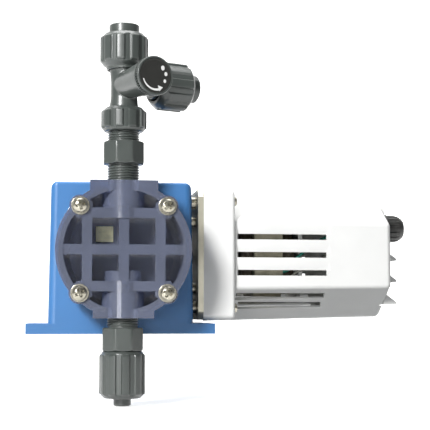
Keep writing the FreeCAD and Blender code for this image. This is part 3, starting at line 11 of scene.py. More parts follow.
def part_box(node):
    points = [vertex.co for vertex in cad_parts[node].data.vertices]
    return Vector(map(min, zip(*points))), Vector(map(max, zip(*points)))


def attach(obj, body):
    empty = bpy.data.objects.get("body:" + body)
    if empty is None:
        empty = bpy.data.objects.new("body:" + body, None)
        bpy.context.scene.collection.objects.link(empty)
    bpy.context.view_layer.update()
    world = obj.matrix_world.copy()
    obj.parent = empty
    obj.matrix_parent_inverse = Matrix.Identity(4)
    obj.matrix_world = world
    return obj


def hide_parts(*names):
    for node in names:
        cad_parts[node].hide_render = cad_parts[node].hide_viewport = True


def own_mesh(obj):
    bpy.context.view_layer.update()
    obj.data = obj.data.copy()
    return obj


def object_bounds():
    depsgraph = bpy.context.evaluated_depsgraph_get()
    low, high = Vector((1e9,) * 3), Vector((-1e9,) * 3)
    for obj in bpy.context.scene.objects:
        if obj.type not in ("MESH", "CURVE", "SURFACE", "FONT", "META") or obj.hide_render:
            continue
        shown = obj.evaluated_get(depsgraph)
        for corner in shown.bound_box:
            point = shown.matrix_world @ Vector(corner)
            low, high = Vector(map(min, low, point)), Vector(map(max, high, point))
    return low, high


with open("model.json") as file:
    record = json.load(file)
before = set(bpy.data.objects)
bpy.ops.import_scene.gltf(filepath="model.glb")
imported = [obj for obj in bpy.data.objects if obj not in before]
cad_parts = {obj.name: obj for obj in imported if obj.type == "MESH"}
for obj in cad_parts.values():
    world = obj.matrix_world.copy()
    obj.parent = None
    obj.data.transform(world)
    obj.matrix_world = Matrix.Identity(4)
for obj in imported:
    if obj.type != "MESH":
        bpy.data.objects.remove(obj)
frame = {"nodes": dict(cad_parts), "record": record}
cad_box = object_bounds()

MM = 0.001
TURN = 2 * math.pi
SAME_POINT = 0.000002               # points nearer than this are one point

# ---------------------------------------------------------------- places and sizes

BLEED_AZIMUTH = math.radians(25)    # the barrel's turn away from straight ahead
BLEED_HEIGHT = 174.5 * MM
PORT_HEIGHT = 177.5 * MM
BARREL_REACH = 39.5 * MM            # from the tee's axis to the barrel's end
PORT_NUT_REACH = 24 * MM
KNOB_FACE_REACH = 45.2 * MM
THREAD_PITCH = 1.81 * MM
THREAD_DEPTH = 0.8 * MM
NECK_RADIUS = 11 * MM
THREAD_CREST = 11.15 * MM
FLOW_RADIUS = 3.5 * MM
GRIP_HALF = 13.9 * MM               # half of a valve body's width across flats
GRIP_LENGTH = 16 * MM
DISCHARGE_NECK = 12 * MM            # thread between the head and the grip
SUCTION_NECK = 6.5 * MM
NUT_RIBS = 10
NUT_RIB_RISE = 1.2 * MM
SCREW_TURN = 0.65                   # radians from one screw's cross to the next one's
WIRE_RADIUS = 1.1 * MM

TURNS = {
    "up": Matrix.Identity(4),
    "down": Matrix.Rotation(math.pi, 4, "X"),
    "front": Matrix.Rotation(math.pi / 2, 4, "X"),
    "back": Matrix.Rotation(-math.pi / 2, 4, "X"),
    "right": Matrix.Rotation(math.pi / 2, 4, "Y"),
}
swivel = Matrix.Rotation(BLEED_AZIMUTH, 4, "Z")
TURNS["bleed"] = swivel @ TURNS["front"]
TURNS["port"] = swivel @ TURNS["right"]


def middle(node):
    """The middle of a CAD node's box."""
    low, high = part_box(node)
    return (low + high) / 2


stack = middle("discharge_union_nut")
stack_x, stack_y = stack.x, stack.y
tee_axis = Vector((stack_x, stack_y, 0))
bleed_way = TURNS["bleed"].to_3x3() @ Vector((0, 0, 1))
port_way = TURNS["port"].to_3x3() @ Vector((0, 0, 1))
motor_axis = middle("rotor_shaft")


# ---------------------------------------------------------------- materials

class Finish:
    """A material under construction: its node tree and its main shader."""

    def __init__(self, name, **settings):
        self.material = bpy.data.materials.new(name)
        self.material.use_nodes = True
        self.tree = self.material.node_tree
        self.shader = self.tree.nodes["Principled BSDF"]
        for label, value in settings.items():
            self.shader.inputs[label.replace("_", " ")].default_value = value
        self.place = self.node("ShaderNodeTexCoord").outputs["Object"]

    def node(self, kind, **settings):
        """A node with its properties set."""
        made = self.tree.nodes.new(kind)
        for label, value in settings.items():
            setattr(made, label, value)
        return made

    def link(self, source, target):
        """Joins an output to an input."""
        self.tree.links.new(source, target)

    def scaled(self, stretch):
        """The object's own coordinates, stretched along its axes."""
        mapping = self.node("ShaderNodeMapping")
        mapping.inputs["Scale"].default_value = stretch
        self.link(self.place, mapping.inputs["Vector"])
        return mapping.outputs["Vector"]

    def noise(self, scale, detail=4, stretch=(1, 1, 1)):
        """A noise value from 0 to 1."""
        made = self.node("ShaderNodeTexNoise")
        made.inputs["Scale"].default_value = scale
        made.inputs["Detail"].default_value = detail
        self.link(self.scaled(stretch), made.inputs["Vector"])
        return made.outputs["Fac"]

    def bands(self, scale):
        """Straight bands along X, from 0 to 1."""
        made = self.node("ShaderNodeTexWave", wave_type="BANDS", bands_direction="X")
        made.inputs["Scale"].default_value = scale
        self.link(self.place, made.inputs["Vector"])
        return made.outputs["Fac"]

    def ramp(self, value, stops):
        """Colours for a value, from (position, colour) stops."""
        made = self.node("ShaderNodeValToRGB")
        elements = made.color_ramp.elements
        elements[0].position, elements[0].color = stops[0][0], (*stops[0][1], 1)
        elements[1].position, elements[1].color = stops[-1][0], (*stops[-1][1], 1)
        for position, colour in stops[1:-1]:
            elements.new(position).color = (*colour, 1)
        self.link(value, made.inputs["Fac"])
        return made.outputs["Color"]

    def spread(self, value, low, high):
        """A value from 0 to 1 turned into one from low to high."""
        made = self.node("ShaderNodeMapRange")
        made.inputs["To Min"].default_value = low
        made.inputs["To Max"].default_value = high
        self.link(value, made.inputs["Value"])
        return made.outputs["Result"]

    def colour(self, output):
        self.link(output, self.shader.inputs["Base Color"])

    def roughness(self, output):
        self.link(output, self.shader.inputs["Roughness"])

    def bump(self, value, strength, depth):
        """Raises the surface by a value, on top of any bump made before."""
        made = self.node("ShaderNodeBump")
        made.inputs["Strength"].default_value = strength
        made.inputs["Distance"].default_value = depth
        self.link(value, made.inputs["Height"])
        socket = self.shader.inputs["Normal"]
        if socket.is_linked:
            self.link(socket.links[0].from_socket, made.inputs["Normal"])
        self.link(made.outputs["Normal"], socket)


def shade(colour, factor):
    """A colour made lighter or darker."""
    return tuple(min(1.0, part * factor) for part in colour)


def moulded(name, colour, gloss, variation=0.12, grain=900.0, depth=0.00003, **settings):
    """Moulded plastic or rubber: cloudy colour, uneven gloss and a fine grain."""
    finish = Finish(name, **settings)
    cloud = finish.noise(38.0, 3)
    finish.colour(finish.ramp(cloud, [(0.3, shade(colour, 1 - variation)),
                                      (0.7, shade(colour, 1 + variation))]))
    finish.roughness(finish.spread(finish.noise(260.0), gloss - 0.07, gloss + 0.08))
    finish.bump(finish.noise(grain, 2), 0.25, depth)
    return finish.material


def metal(name, colour, gloss, stretch=(1, 1, 1), scale=500.0, tarnish=0.25):
    """Bare or plated metal; its brush marks run along the axis with the smallest stretch."""
    finish = Finish(name, Metallic=1.0)
    marks = finish.noise(scale, 5, stretch)
    cloud = finish.noise(60.0, 4)
    finish.colour(finish.ramp(cloud, [(0.25, shade(colour, 1 - tarnish)), (0.55, colour),
                                      (0.8, shade(colour, 1.15))]))
    finish.roughness(finish.spread(marks, gloss - 0.1, gloss + 0.15))
    finish.bump(marks, 0.1, 0.00003)
    return finish.material


def painted(name, colour):
    """Enamel over a casting: orange peel, slow waves, a soft sheen and a cloudy colour."""
    finish = Finish(name, Coat_Weight=0.35, Coat_Roughness=0.22)
    cloud = finish.noise(16.0, 5)
    finish.colour(finish.ramp(cloud, [(0.25, shade(colour, 0.86)), (0.5, colour),
                                      (0.78, shade(colour, 1.14))]))
    finish.roughness(finish.spread(finish.noise(190.0), 0.36, 0.5))
    finish.bump(finish.noise(330.0, 3), 0.35, 0.00012)
    finish.bump(finish.noise(45.0, 2), 0.12, 0.0004)
    return finish.material


def smoked(name, colour):
    """Tinted translucent moulding with a hazy inside and faint flow lines."""
    finish = Finish(name, IOR=1.47, Transmission_Weight=0.62, Coat_Weight=0.8,
                    Coat_Roughness=0.06)
    cloud = finish.noise(30.0, 4)
    finish.colour(finish.ramp(cloud, [(0.3, shade(colour, 0.86)), (0.7, shade(colour, 1.14))]))
    finish.roughness(finish.spread(finish.noise(90.0), 0.16, 0.3))
    finish.bump(finish.noise(70.0, 3), 0.15, 0.0003)
    return finish.material


def laminated(name, colour):
    """Stacked steel sheets, seen as fine lines across the motor's axis."""
    finish = Finish(name, Metallic=0.75)
    sheets = finish.bands(320.0)
    rust = finish.noise(110.0, 5)
    finish.colour(finish.ramp(rust, [(0.3, shade(colour, 0.65)), (0.55, colour),
                                     (0.8, shade(colour, 1.35))]))
    finish.roughness(finish.spread(rust, 0.35, 0.6))
    finish.bump(sheets, 0.7, 0.0002)
    return finish.material


def speckled_paper(name, colour):
    """Matt sticker with fibres and a slight stain."""
    finish = Finish(name, Roughness=0.8)
    fibres = finish.noise(700.0, 6, (1, 1, 3))
    stain = finish.noise(150.0, 3)
    finish.colour(finish.ramp(stain, [(0.3, shade(colour, 0.7)), (0.6, colour),
                                      (0.8, shade(colour, 1.15))]))
    finish.bump(fibres, 0.4, 0.00006)
    return finish.material


BLUE = (0.038, 0.166, 0.405)
SMOKE = (0.225, 0.255, 0.37)
PVC = (0.058, 0.067, 0.062)
WHITE = (0.84, 0.84, 0.825)
ZINC = (0.36, 0.34, 0.28)

looks = {
    "blue_casting": painted("blue enamel", BLUE),
    "gasket": moulded("gasket rubber", (0.02, 0.02, 0.02), 0.7),
    "zinc_steel": metal("zinc plated steel", ZINC, 0.27),
    "plate_steel": metal("plated sheet", (0.45, 0.43, 0.35), 0.4, (1, 0.1, 1)),
    "head_plastic": smoked("smoke violet moulding", SMOKE),
    "grey_pvc": moulded("grey pvc", PVC, 0.33, Coat_Weight=0.25, Coat_Roughness=0.2),
    "white_plastic": moulded("white moulding", WHITE, 0.42, 0.02, 1400.0, 0.00002),
    "black_plastic": moulded("black moulding", (0.016, 0.016, 0.014), 0.45),
    "ceramic": moulded("ceramic", (0.85, 0.84, 0.80), 0.15, 0.04),
    "elastomer": moulded("dark elastomer", (0.05, 0.05, 0.055), 0.5),
    "shaft_steel": metal("ground steel", (0.6, 0.6, 0.6), 0.22, (6, 1, 1)),
    "bronze": metal("sintered bronze", (0.45, 0.29, 0.14), 0.45),
    "acetal": moulded("natural acetal", (0.72, 0.70, 0.62), 0.4, 0.05),
    "lamination": laminated("laminated steel", (0.30, 0.28, 0.21)),
    "copper": moulded("varnished winding", (0.075, 0.06, 0.04), 0.4, 0.3, 1500.0, 0.00008),
    "aluminium": metal("cast aluminium", (0.50, 0.50, 0.49), 0.42, (1, 1, 1), 240.0),
    "green_pvc": moulded("green wire cover", (0.02, 0.26, 0.19), 0.4),
    "pale_pvc": moulded("pale wire cover", (0.42, 0.41, 0.36), 0.4, 0.05),
    "paper": speckled_paper("beige sticker", (1.0, 0.96, 0.62)),
}
ink = moulded("white marking", (0.85, 0.85, 0.84), 0.5, 0.04)


def paint_frame():
    """Gives every CAD node the finish of its own slot."""
    for row in frame["record"]["subparts"]:
        node = frame["nodes"][row["node"]]
        node.data.materials.clear()
        node.data.materials.append(looks[row["material_slot"]])


def weld_points(thing):
    """Joins the split points of a CAD mesh with a modifier."""
    thing.modifiers.new("weld", "WELD").merge_threshold = SAME_POINT


def round_edges(thing, width, segments):
    """Rounds an object's sharp edges with modifiers, after merging its flat faces."""
    flat = thing.modifiers.new("flatten", "DECIMATE")
    flat.decimate_type = "DISSOLVE"
    flat.angle_limit = math.radians(0.6)
    bevel = thing.modifiers.new("bevel", "BEVEL")
    bevel.width = width
    bevel.segments = segments
    bevel.limit_method = "ANGLE"
    bevel.angle_limit = math.radians(32)


def even_shading(thing):
    """Shades broad faces evenly up to their rounded edges."""
    thing.modifiers.new("normals", "WEIGHTED_NORMAL").keep_sharp = True


def soften(node, width, segments=3):
    """Rounds the sharp edges of a CAD node with modifiers, leaving its mesh as it is."""
    thing = frame["nodes"][node]
    weld_points(thing)
    round_edges(thing, width, segments)
    even_shading(thing)


# ---------------------------------------------------------------- mesh builders

def new_piece(name, mesh, spot, along, body, slot, nodes=()):
    """Places a mesh, smooths it, and makes it ride on its body and stand for its CAD nodes."""
    mesh.transform(Matrix.Translation(spot) @ TURNS[along])
    mesh.shade_smooth()
    mesh.set_sharp_from_angle(angle=math.radians(38))
    piece = bpy.data.objects.new(name, mesh)
    bpy.context.scene.collection.objects.link(piece)
    mesh.materials.append(looks[slot] if slot in looks else ink)
    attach(piece, body)
    if nodes:
        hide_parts(*nodes)
    return piece


def cleaned(mesh):
    """Merges doubled points and turns every face outwards."""
    work = bmesh.new()
    work.from_mesh(mesh)
    bmesh.ops.remove_doubles(work, verts=work.verts, dist=0.0000005)
    bmesh.ops.recalc_face_normals(work, faces=work.faces)
    work.to_mesh(mesh)
    work.free()
    return mesh


def ring_mesh(name, rings, closed=True):
    """Quads between rings of points; the last ring meets the first when closed."""
    count = len(rings[0])
    faces = []
    for i in range(len(rings) if closed else len(rings) - 1):
        here, there = i * count, (i + 1) % len(rings) * count
        for j in range(count):
            k = (j + 1) % count
            faces.append((here + j, here + k, there + k, there + j))
    mesh = bpy.data.meshes.new(name)
    mesh.from_pydata([point for ring in rings for point in ring], [], faces)
    return cleaned(mesh)


def joined(name, meshes):
    """One mesh from several."""
    work = bmesh.new()
    for mesh in meshes:
        work.from_mesh(mesh)
        bpy.data.meshes.remove(mesh)
    whole = bpy.data.meshes.new(name)
    work.to_mesh(whole)
    work.free()
    return whole


def eased(profile, size, steps=3):
    """A closed outline whose corners are rounded by about the size."""
    result = []
    for i, corner in enumerate(profile):
        before = Vector(profile[i - 1])
        point = Vector(corner)
        after = Vector(profile[(i + 1) % len(profile)])
        back, ahead = before - point, after - point
        reach = min(size, back.length * 0.45, ahead.length * 0.45)
        if corner[0] < 1e-6 or reach < 1e-6:
            result.append(tuple(corner))
            continue
        start = point + back.normalized() * reach
        end = point + ahead.normalized() * reach
        for step in range(steps + 1):
            t = step / steps
            spot = start * (1 - t) ** 2 + point * 2 * t * (1 - t) + end * t * t
            result.append((spot.x, spot.y))
    return result


def revolved(name, profile, steps=96, shape=None):
    """A mesh turned about its own Z from a closed (radius, height) outline."""
    rings = []
    for radius, height in profile:
        ring = []
        for j in range(steps):
            angle = TURN * j / steps
            r = shape(angle, radius, height) if shape else radius
            ring.append((r * math.cos(angle), r * math.sin(angle), height))
        rings.append(ring)
    return ring_mesh(name, rings)


def slab(name, outline, thickness):
    """A thin plate from a flat outline."""
    work = bmesh.new()
    face = work.faces.new([work.verts.new((x, y, 0)) for x, y in outline])
    raised = bmesh.ops.extrude_face_region(work, geom=[face])
    moved = [item for item in raised["geom"] if isinstance(item, bmesh.types.BMVert)]
    bmesh.ops.translate(work, verts=moved, vec=(0, 0, thickness))
    bmesh.ops.recalc_face_normals(work, faces=work.faces)
    mesh = bpy.data.meshes.new(name)
    work.to_mesh(mesh)
    work.free()
    return mesh


def clamp(value):
    """A value kept between 0 and 1."""
    return max(0.0, min(1.0, value))


def smooth_step(value):
    """A rise from 0 to 1 that starts and ends level."""
    value = clamp(value)
    return value * value * (3 - 2 * value)


def rib_wave(angle, count, groove_share, edge):
    """Goes from 1 on a rib to 0 in the groove beside it."""
    phase = abs((angle * count / TURN) % 1 - 0.5) * 2
    return 1 - smooth_step((phase - (1 - groove_share) + edge) / (2 * edge))


def ribbed(crest, depth, count, groove_share, edge):
    """A radius limit that leaves broad ribs between narrow grooves."""
    def limit(angle, radius):
        return min(radius, crest - depth + depth * rib_wave(angle, count, groove_share, edge))
    return limit


def screw_thread(height, angle, crest):
    """The radius of a vee thread with flat crests and roots at a height and angle."""
    phase = (height / THREAD_PITCH - angle / TURN) % 1
    return crest - THREAD_DEPTH * clamp(abs(2 * phase - 1) * 1.5 - 0.3)


# ---------------------------------------------------------------- fittings

def octagon_radius(angle, half):
    """The radius of an eight-sided bar that has a flat face towards angle 0."""
    eighth = TURN / 8
    off = (angle + eighth / 2) % eighth - eighth / 2
    return half / math.cos(off)


def valve_body(node, along, base, inside, neck, upper):
    """Valve body: plain inside the head, then a thread, an eight-sided grip and a thread."""
    steps = 112
    thread_step = 0.2 * MM
    end_taper = 0.5 * MM
    plain = THREAD_CREST - 0.6 * MM
    relief = NECK_RADIUS - 0.5 * MM
    relief_length = 1.1 * MM
    thread_gap = 1.2 * MM
    corner = GRIP_HALF / math.cos(TURN / 16)
    corner_cut = 1.5 * MM
    cut_length = 1.3 * MM
    cut_shares = (0, 0.12, 0.3, 0.6, 1)
    grip_end = neck + GRIP_LENGTH
    top = grip_end + upper
    rings = []

    def add(height, radius_at):
        ring = []
        for j in range(steps):
            angle = TURN * j / steps
            r = radius_at(angle)
            ring.append((r * math.cos(angle), r * math.sin(angle), height))
        rings.append(ring)

    def add_round(height, radius):
        add(height, lambda angle: radius)

    def add_grip(height, share):
        limit = corner - corner_cut * (1 - share) ** 2
        add(height, lambda angle: min(octagon_radius(angle, GRIP_HALF), limit))

    def add_thread(low, high):
        count = int(round((high - low) / thread_step))
        for i in range(count + 1):
            height = low + (high - low) * i / count
            fade = clamp((high - height) / MM) if high == top else 1
            crest = THREAD_CREST - end_taper * (1 - fade)
            add(height, lambda angle: screw_thread(height, angle, crest))

    add_round(-inside, plain)
    add_round(-0.3 * MM, plain)
    add_thread(0, neck - thread_gap)
    add_round(neck - relief_length, relief)
    add_round(neck, relief)
    for share in cut_shares:
        add_grip(neck + cut_length * share, share)
    for share in reversed(cut_shares):
        add_grip(grip_end - cut_length * share, share)
    add_round(grip_end, relief)
    add_round(grip_end + relief_length, relief)
    add_thread(grip_end + thread_gap, top)
    add_round(top, FLOW_RADIUS)
    add_round(-inside, FLOW_RADIUS)
    new_piece(node + "_moulding", ring_mesh(node, rings), (stack_x, stack_y, base), along,
              "housing", "grey_pvc", [node])


def valve_bodies():
    """The valve bodies above and below the head."""
    head_low, head_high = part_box("pump_head")
    low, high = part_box("discharge_valve_body")
    base = head_high.z
    valve_body("discharge_valve_body", "up", base, base - low.z, DISCHARGE_NECK,
               high.z - base - DISCHARGE_NECK - GRIP_LENGTH)
    low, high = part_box("suction_valve_body")
    base = head_low.z
    valve_body("suction_valve_body", "down", base, high.z - base, SUCTION_NECK,
               base - low.z - SUCTION_NECK - GRIP_LENGTH)


def fluted_nut(node, crest, length, foot, wide_depth, lip, spot, along, twist):
    """Hand nut with raised ribs that end short of its rounded ends.

    The foot is the outline's first points, up to where the ribs begin. The bore is wide as far
    as wide_depth, and then as narrow as the lip.
    """
    core = crest - NUT_RIB_RISE
    chamfer = 2.6 * MM
    wide = NECK_RADIUS + 0.2 * MM
    base = foot[-1][1]
    side = [(core, base + (length - chamfer - base) * i / 24) for i in range(1, 24)]
    outline = [(wide, 0)] + foot + [(core, length - chamfer), (core - chamfer * 0.85, length),
                                    (lip, length), (lip, wide_depth), (wide, wide_depth)]
    profile = eased(outline, 0.9 * MM, 4)
    split = next(i for i, point in enumerate(profile) if point[1] > (base + length) / 2)
    profile[split:split] = [point for point in side
                            if profile[split - 1][1] < point[1] < profile[split][1]]

    def shape(angle, radius, height):
        if radius < core - 0.8 * MM:
            return radius
        ends = (smooth_step((height - base - 0.3 * MM) / (1.1 * MM))
                * smooth_step((length - chamfer + 0.5 * MM - height) / (1.3 * MM)))
        return radius + NUT_RIB_RISE * ends * rib_wave(angle + twist, NUT_RIBS, 0.42, 0.1)

    mesh = revolved(node, profile, 240, shape)
    new_piece(node + "_moulding", mesh, spot, along, "housing", "grey_pvc", [node])


def nuts():
    """The four hand nuts."""
    crest = 16 * MM
    core = crest - NUT_RIB_RISE
    foot = [(core - 1.6 * MM, 0), (core, 1.6 * MM)]
    low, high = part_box("discharge_union_nut")
    length = high.z - low.z
    fluted_nut("discharge_union_nut", crest, length, foot, length - 4 * MM, 10.4 * MM,
               (stack_x, stack_y, low.z), "up", 0.26)
    low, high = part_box("discharge_tube_nut")
    length = high.z - low.z
    wide_crest = 17 * MM
    fluted_nut("discharge_tube_nut", wide_crest, length,
               [(12.4 * MM, 0), (12.6 * MM, 1.8 * MM), (wide_crest - NUT_RIB_RISE, 4.6 * MM)],
               length - 5 * MM, 9.7 * MM, (stack_x, stack_y, low.z), "up", 0.2)
    low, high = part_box("suction_tube_nut")
    length = high.z - low.z
    fluted_nut("suction_tube_nut", crest, length, foot, length - 5 * MM, 6.3 * MM,
               (stack_x, stack_y, high.z), "down", 0.1)
    crest = 17.5 * MM
    length = 26.5 * MM
    core = crest - NUT_RIB_RISE
    fluted_nut("bleed_port_nut", crest, length, [(core - 3.2 * MM, 0), (core, 3.6 * MM)],
               length - 5 * MM, 9.7 * MM,
               tee_axis + port_way * PORT_NUT_REACH + Vector((0, 0, PORT_HEIGHT)), "port", 0.0)


def tee_body():
    """The tee with its barrel and side port, with its joins blended like a moulding."""
    low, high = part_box("bleed_valve_body")
    union_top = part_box("discharge_union_nut")[1].z
    nut_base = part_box("discharge_tube_nut")[0].z
    waist_low, waist_high = union_top + 8 * MM, union_top + 18 * MM
    overlap = 1 * MM

    def upright(height):
        return Matrix.Translation(tee_axis + Vector((0, 0, height)))

    barrel = upright(BLEED_HEIGHT) @ TURNS["bleed"]
    port = upright(PORT_HEIGHT) @ TURNS["port"]
    collar = port @ Matrix.Translation((0, 0, PORT_NUT_REACH - 2 * MM))
    cones = [    # a start, the radii in mm at both ends, and a length
        (upright(low.z), 10.0, 10.2, union_top + overlap - low.z),
        (upright(union_top), 10.2, 9.3, waist_low - union_top),
        (upright(waist_low), 9.3, 9.3, waist_high - waist_low),
        (upright(waist_high), 9.3, 10.2, nut_base + overlap - waist_high),
        (upright(nut_base - overlap / 2), 10.4, 10.4, high.z - nut_base),
        (barrel, 8.9, 12.7, BARREL_REACH),
        (port, 7.4, 7.4, PORT_NUT_REACH + 14 * MM),
        (collar, 10.2, 10.2, 16 * MM),
    ]
    work = bmesh.new()
    for start, first, second, length in cones:
        bmesh.ops.create_cone(work, cap_ends=True, segments=72, radius1=first * MM,
                              radius2=second * MM, depth=length,
                              matrix=start @ Matrix.Translation((0, 0, length / 2)))
    mesh = bpy.data.meshes.new("tee")
    work.to_mesh(mesh)
    work.free()
    piece = new_piece("tee_moulding", mesh, (0, 0, 0), "up", "housing", "grey_pvc",
                      ["bleed_valve_body"])
    remesh = piece.modifiers.new("merge", "REMESH")
    remesh.mode = "VOXEL"
    remesh.voxel_size = 0.45 * MM
    remesh.use_smooth_shade = True
    blur = piece.modifiers.new("blend", "SMOOTH")
    blur.factor = 0.6
    blur.iterations = 9


def bleed_knob():
    """Knob with a knurled skirt, a plain rim round its black disc, and a stem into the barrel."""
    hub = 5 * MM
    rim = 13.5 * MM
    recess = 12.1 * MM
    recess_depth = 0.6 * MM
    length = 6 * MM
    skirt = 4.6 * MM
    stem = 12 * MM
    teeth = 50
    tooth_depth = 1.1 * MM
    profile = [(0, 0), (rim - 0.5 * MM, 0), (rim, 0.5 * MM), (rim, 0.8 * MM), (rim, 1.2 * MM),
               (rim, skirt - 0.4 * MM), (rim, skirt), (rim, length - 0.5 * MM),
               (rim - 0.4 * MM, length), (recess, length), (recess, length - recess_depth),
               (0, length - recess_depth)]

    def shape(angle, radius, height):
        on_teeth = radius >= rim - 0.1 * MM and 1.1 * MM < height < skirt - 0.3 * MM
        depth = tooth_depth if on_teeth else 0
        return radius - depth * abs((angle * teeth / TURN) % 1 - 0.5) * 2

    skirt_mesh = revolved("knob", eased(profile, 0.3 * MM, 2), teeth * 4, shape)
    stem_mesh = revolved("stem", [(0, 0), (hub, 0), (hub, stem), (0, stem)], 48)
    stem_mesh.transform(Matrix.Translation((0, 0, 0.1 * MM - stem)))
    start = BARREL_REACH + 0.3 * MM
    spot = tee_axis + bleed_way * start + Vector((0, 0, BLEED_HEIGHT))
    new_piece("bleed_knob_moulding", joined("bleed_knob", [skirt_mesh, stem_mesh]), spot,
              "bleed", "bleed_knob", "grey_pvc", ["bleed_knob"])


def arc_outline(radius, start, end, narrow, wide, steps=28):
    """A flat band round part of a circle that widens towards its end."""
    inner, outer = [], []
    for i in range(steps + 1):
        share = i / steps
        angle = math.radians(start + (end - start) * share)
        half = (narrow + (wide - narrow) * share) / 2
        for line, r in ((inner, radius - half), (outer, radius + half)):
            line.append((r * math.cos(angle), r * math.sin(angle)))
    return outer + inner[::-1]


def arrow_outline(radius, angle, length, half):
    """A triangle on a circle that points the way the angle grows."""
    angle = math.radians(angle)
    centre = Vector((math.cos(angle), math.sin(angle))) * radius
    ahead = Vector((-math.sin(angle), math.cos(angle)))
    out = Vector((math.cos(angle), math.sin(angle)))
    return [tuple(centre + ahead * length), tuple(centre + out * half),
            tuple(centre - out * half)]


def dot_outline(radius, angle, size):
    """A round mark at a place on a circle."""
    angle = math.radians(angle)
    x, y = radius * math.cos(angle), radius * math.sin(angle)
    return [(x + size * 0.8 * math.cos(TURN * i / 20), y + size * math.sin(TURN * i / 20))
            for i in range(20)]


def knob_face():
    """Slightly dished black disc set into the bleed knob."""
    radius = 12 * MM
    profile = [(0, 0), (radius, 0), (radius, 0.35 * MM), (radius - 0.5 * MM, 0.45 * MM),
               (radius - 1.2 * MM, 0.25 * MM), (0, 0.25 * MM)]
    spot = tee_axis + bleed_way * KNOB_FACE_REACH + Vector((0, 0, BLEED_HEIGHT))
    new_piece("bleed_knob_face", revolved("face", eased(profile, 0.1 * MM), 96), spot, "bleed",
              "bleed_knob", "black_plastic", ["bleed_knob_disc"])


def knob_marks():
    """A turning arrow and three dots of rising size on the bleed knob's disc."""
    outlines = [arc_outline(9.6 * MM, -163, -72, 0.7 * MM, 1.6 * MM),
                arrow_outline(8.9 * MM, -74, 3.4 * MM, 2.1 * MM),
                dot_outline(7.9 * MM, -24, 1.25 * MM), dot_outline(8.2 * MM, 12, 1.45 * MM),
                dot_outline(8.0 * MM, 45, 1.7 * MM)]
    meshes = [slab("mark", outline, 0.1 * MM) for outline in outlines]
    spot = tee_axis + bleed_way * (KNOB_FACE_REACH + 0.24 * MM) + Vector((0, 0, BLEED_HEIGHT))
    new_piece("bleed_knob_marks", joined("marks", meshes), spot, "bleed", "bleed_knob", "ink")


# ---------------------------------------------------------------- screws

def cross_recess(x, y, reach, half):
    """1 inside a cross-shaped driver recess and 0 outside it, with a slope between."""
    def arm(across, along):
        return clamp((1.3 - across / half) / 0.35) * clamp((1.12 - along / reach) / 0.3)
    return max(arm(abs(x), abs(y)), arm(abs(y), abs(x)))


def pan_screw(name, head, rise, shank, length, turn):
    """Pan-head screw with a cross recess; its head stands on the origin and its shank goes down."""
    steps = 72
    dome_rings = 34
    reach, half, depth = head * 0.56, head * 0.13, rise * 0.85
    c, s = math.cos(turn), math.sin(turn)
    rings = []
    for i in range(dome_rings):
        radius = head * math.sin(math.pi / 2 * i / (dome_rings - 1))
        dome = rise * math.sqrt(1 - 0.86 * (radius / head) ** 2.6)
        ring = []
        for j in range(steps):
            angle = TURN * j / steps
            x, y = radius * math.cos(angle), radius * math.sin(angle)
            dip = depth * cross_recess(x * c + y * s, y * c - x * s, reach, half)
            ring.append((x, y, dome - dip))
        rings.append(ring)
    tip = 0.4 * MM
    outline = [(head, 0.12 * rise), (head - 0.1 * MM, 0), (shank, 0), (shank, tip - length),
               (shank - tip, -length), (0, -length)]
    for radius, height in outline:
        rings.append([(radius * math.cos(TURN * j / steps), radius * math.sin(TURN * j / steps),
                       height) for j in range(steps)])
    return ring_mesh(name, rings, closed=False)


def island_boxes(node):
    """The boxes of the separate solids in a CAD node, as (low, high)."""
    work = bmesh.new()
    work.from_mesh(frame["nodes"][node].data)
    bmesh.ops.remove_doubles(work, verts=work.verts, dist=SAME_POINT)
    todo = set(work.verts)
    boxes = []
    while todo:
        reached = [todo.pop()]
        points = []
        while reached:
            vert = reached.pop()
            points.append(vert.co.copy())
            for edge in vert.link_edges:
                other = edge.other_vert(vert)
                if other in todo:
                    todo.remove(other)
                    reached.append(other)
        boxes.append((Vector(map(min, *points)), Vector(map(max, *points))))
    work.free()
    return sorted(boxes, key=lambda box: (round(box[0].z, 4), round(box[0].x, 4),
                                          round(box[0].y, 4)))


def screws(node, along, head, rise, shank, first_turn):
    """Detailed screws in place of a node's plain ones, each turned further than the last."""
    way = TURNS[along].to_3x3() @ Vector((0, 0, 1))
    axis = max(range(3), key=lambda i: abs(way[i]))
    meshes = []
    for i, (low, high) in enumerate(island_boxes(node)):
        spot = (low + high) / 2
        length = high[axis] - low[axis] - rise
        spot[axis] = high[axis] - rise if way[axis] > 0 else low[axis] + rise
        mesh = pan_screw(node, head, rise, shank, length, first_turn + SCREW_TURN * i)
        mesh.transform(Matrix.Translation(spot) @ TURNS[along])
        meshes.append(mesh)
    new_piece(node + "_detailed", joined(node, meshes), (0, 0, 0), "up", "housing", "zinc_steel",
              [node])


# ---------------------------------------------------------------- stroke knob, gland and motor

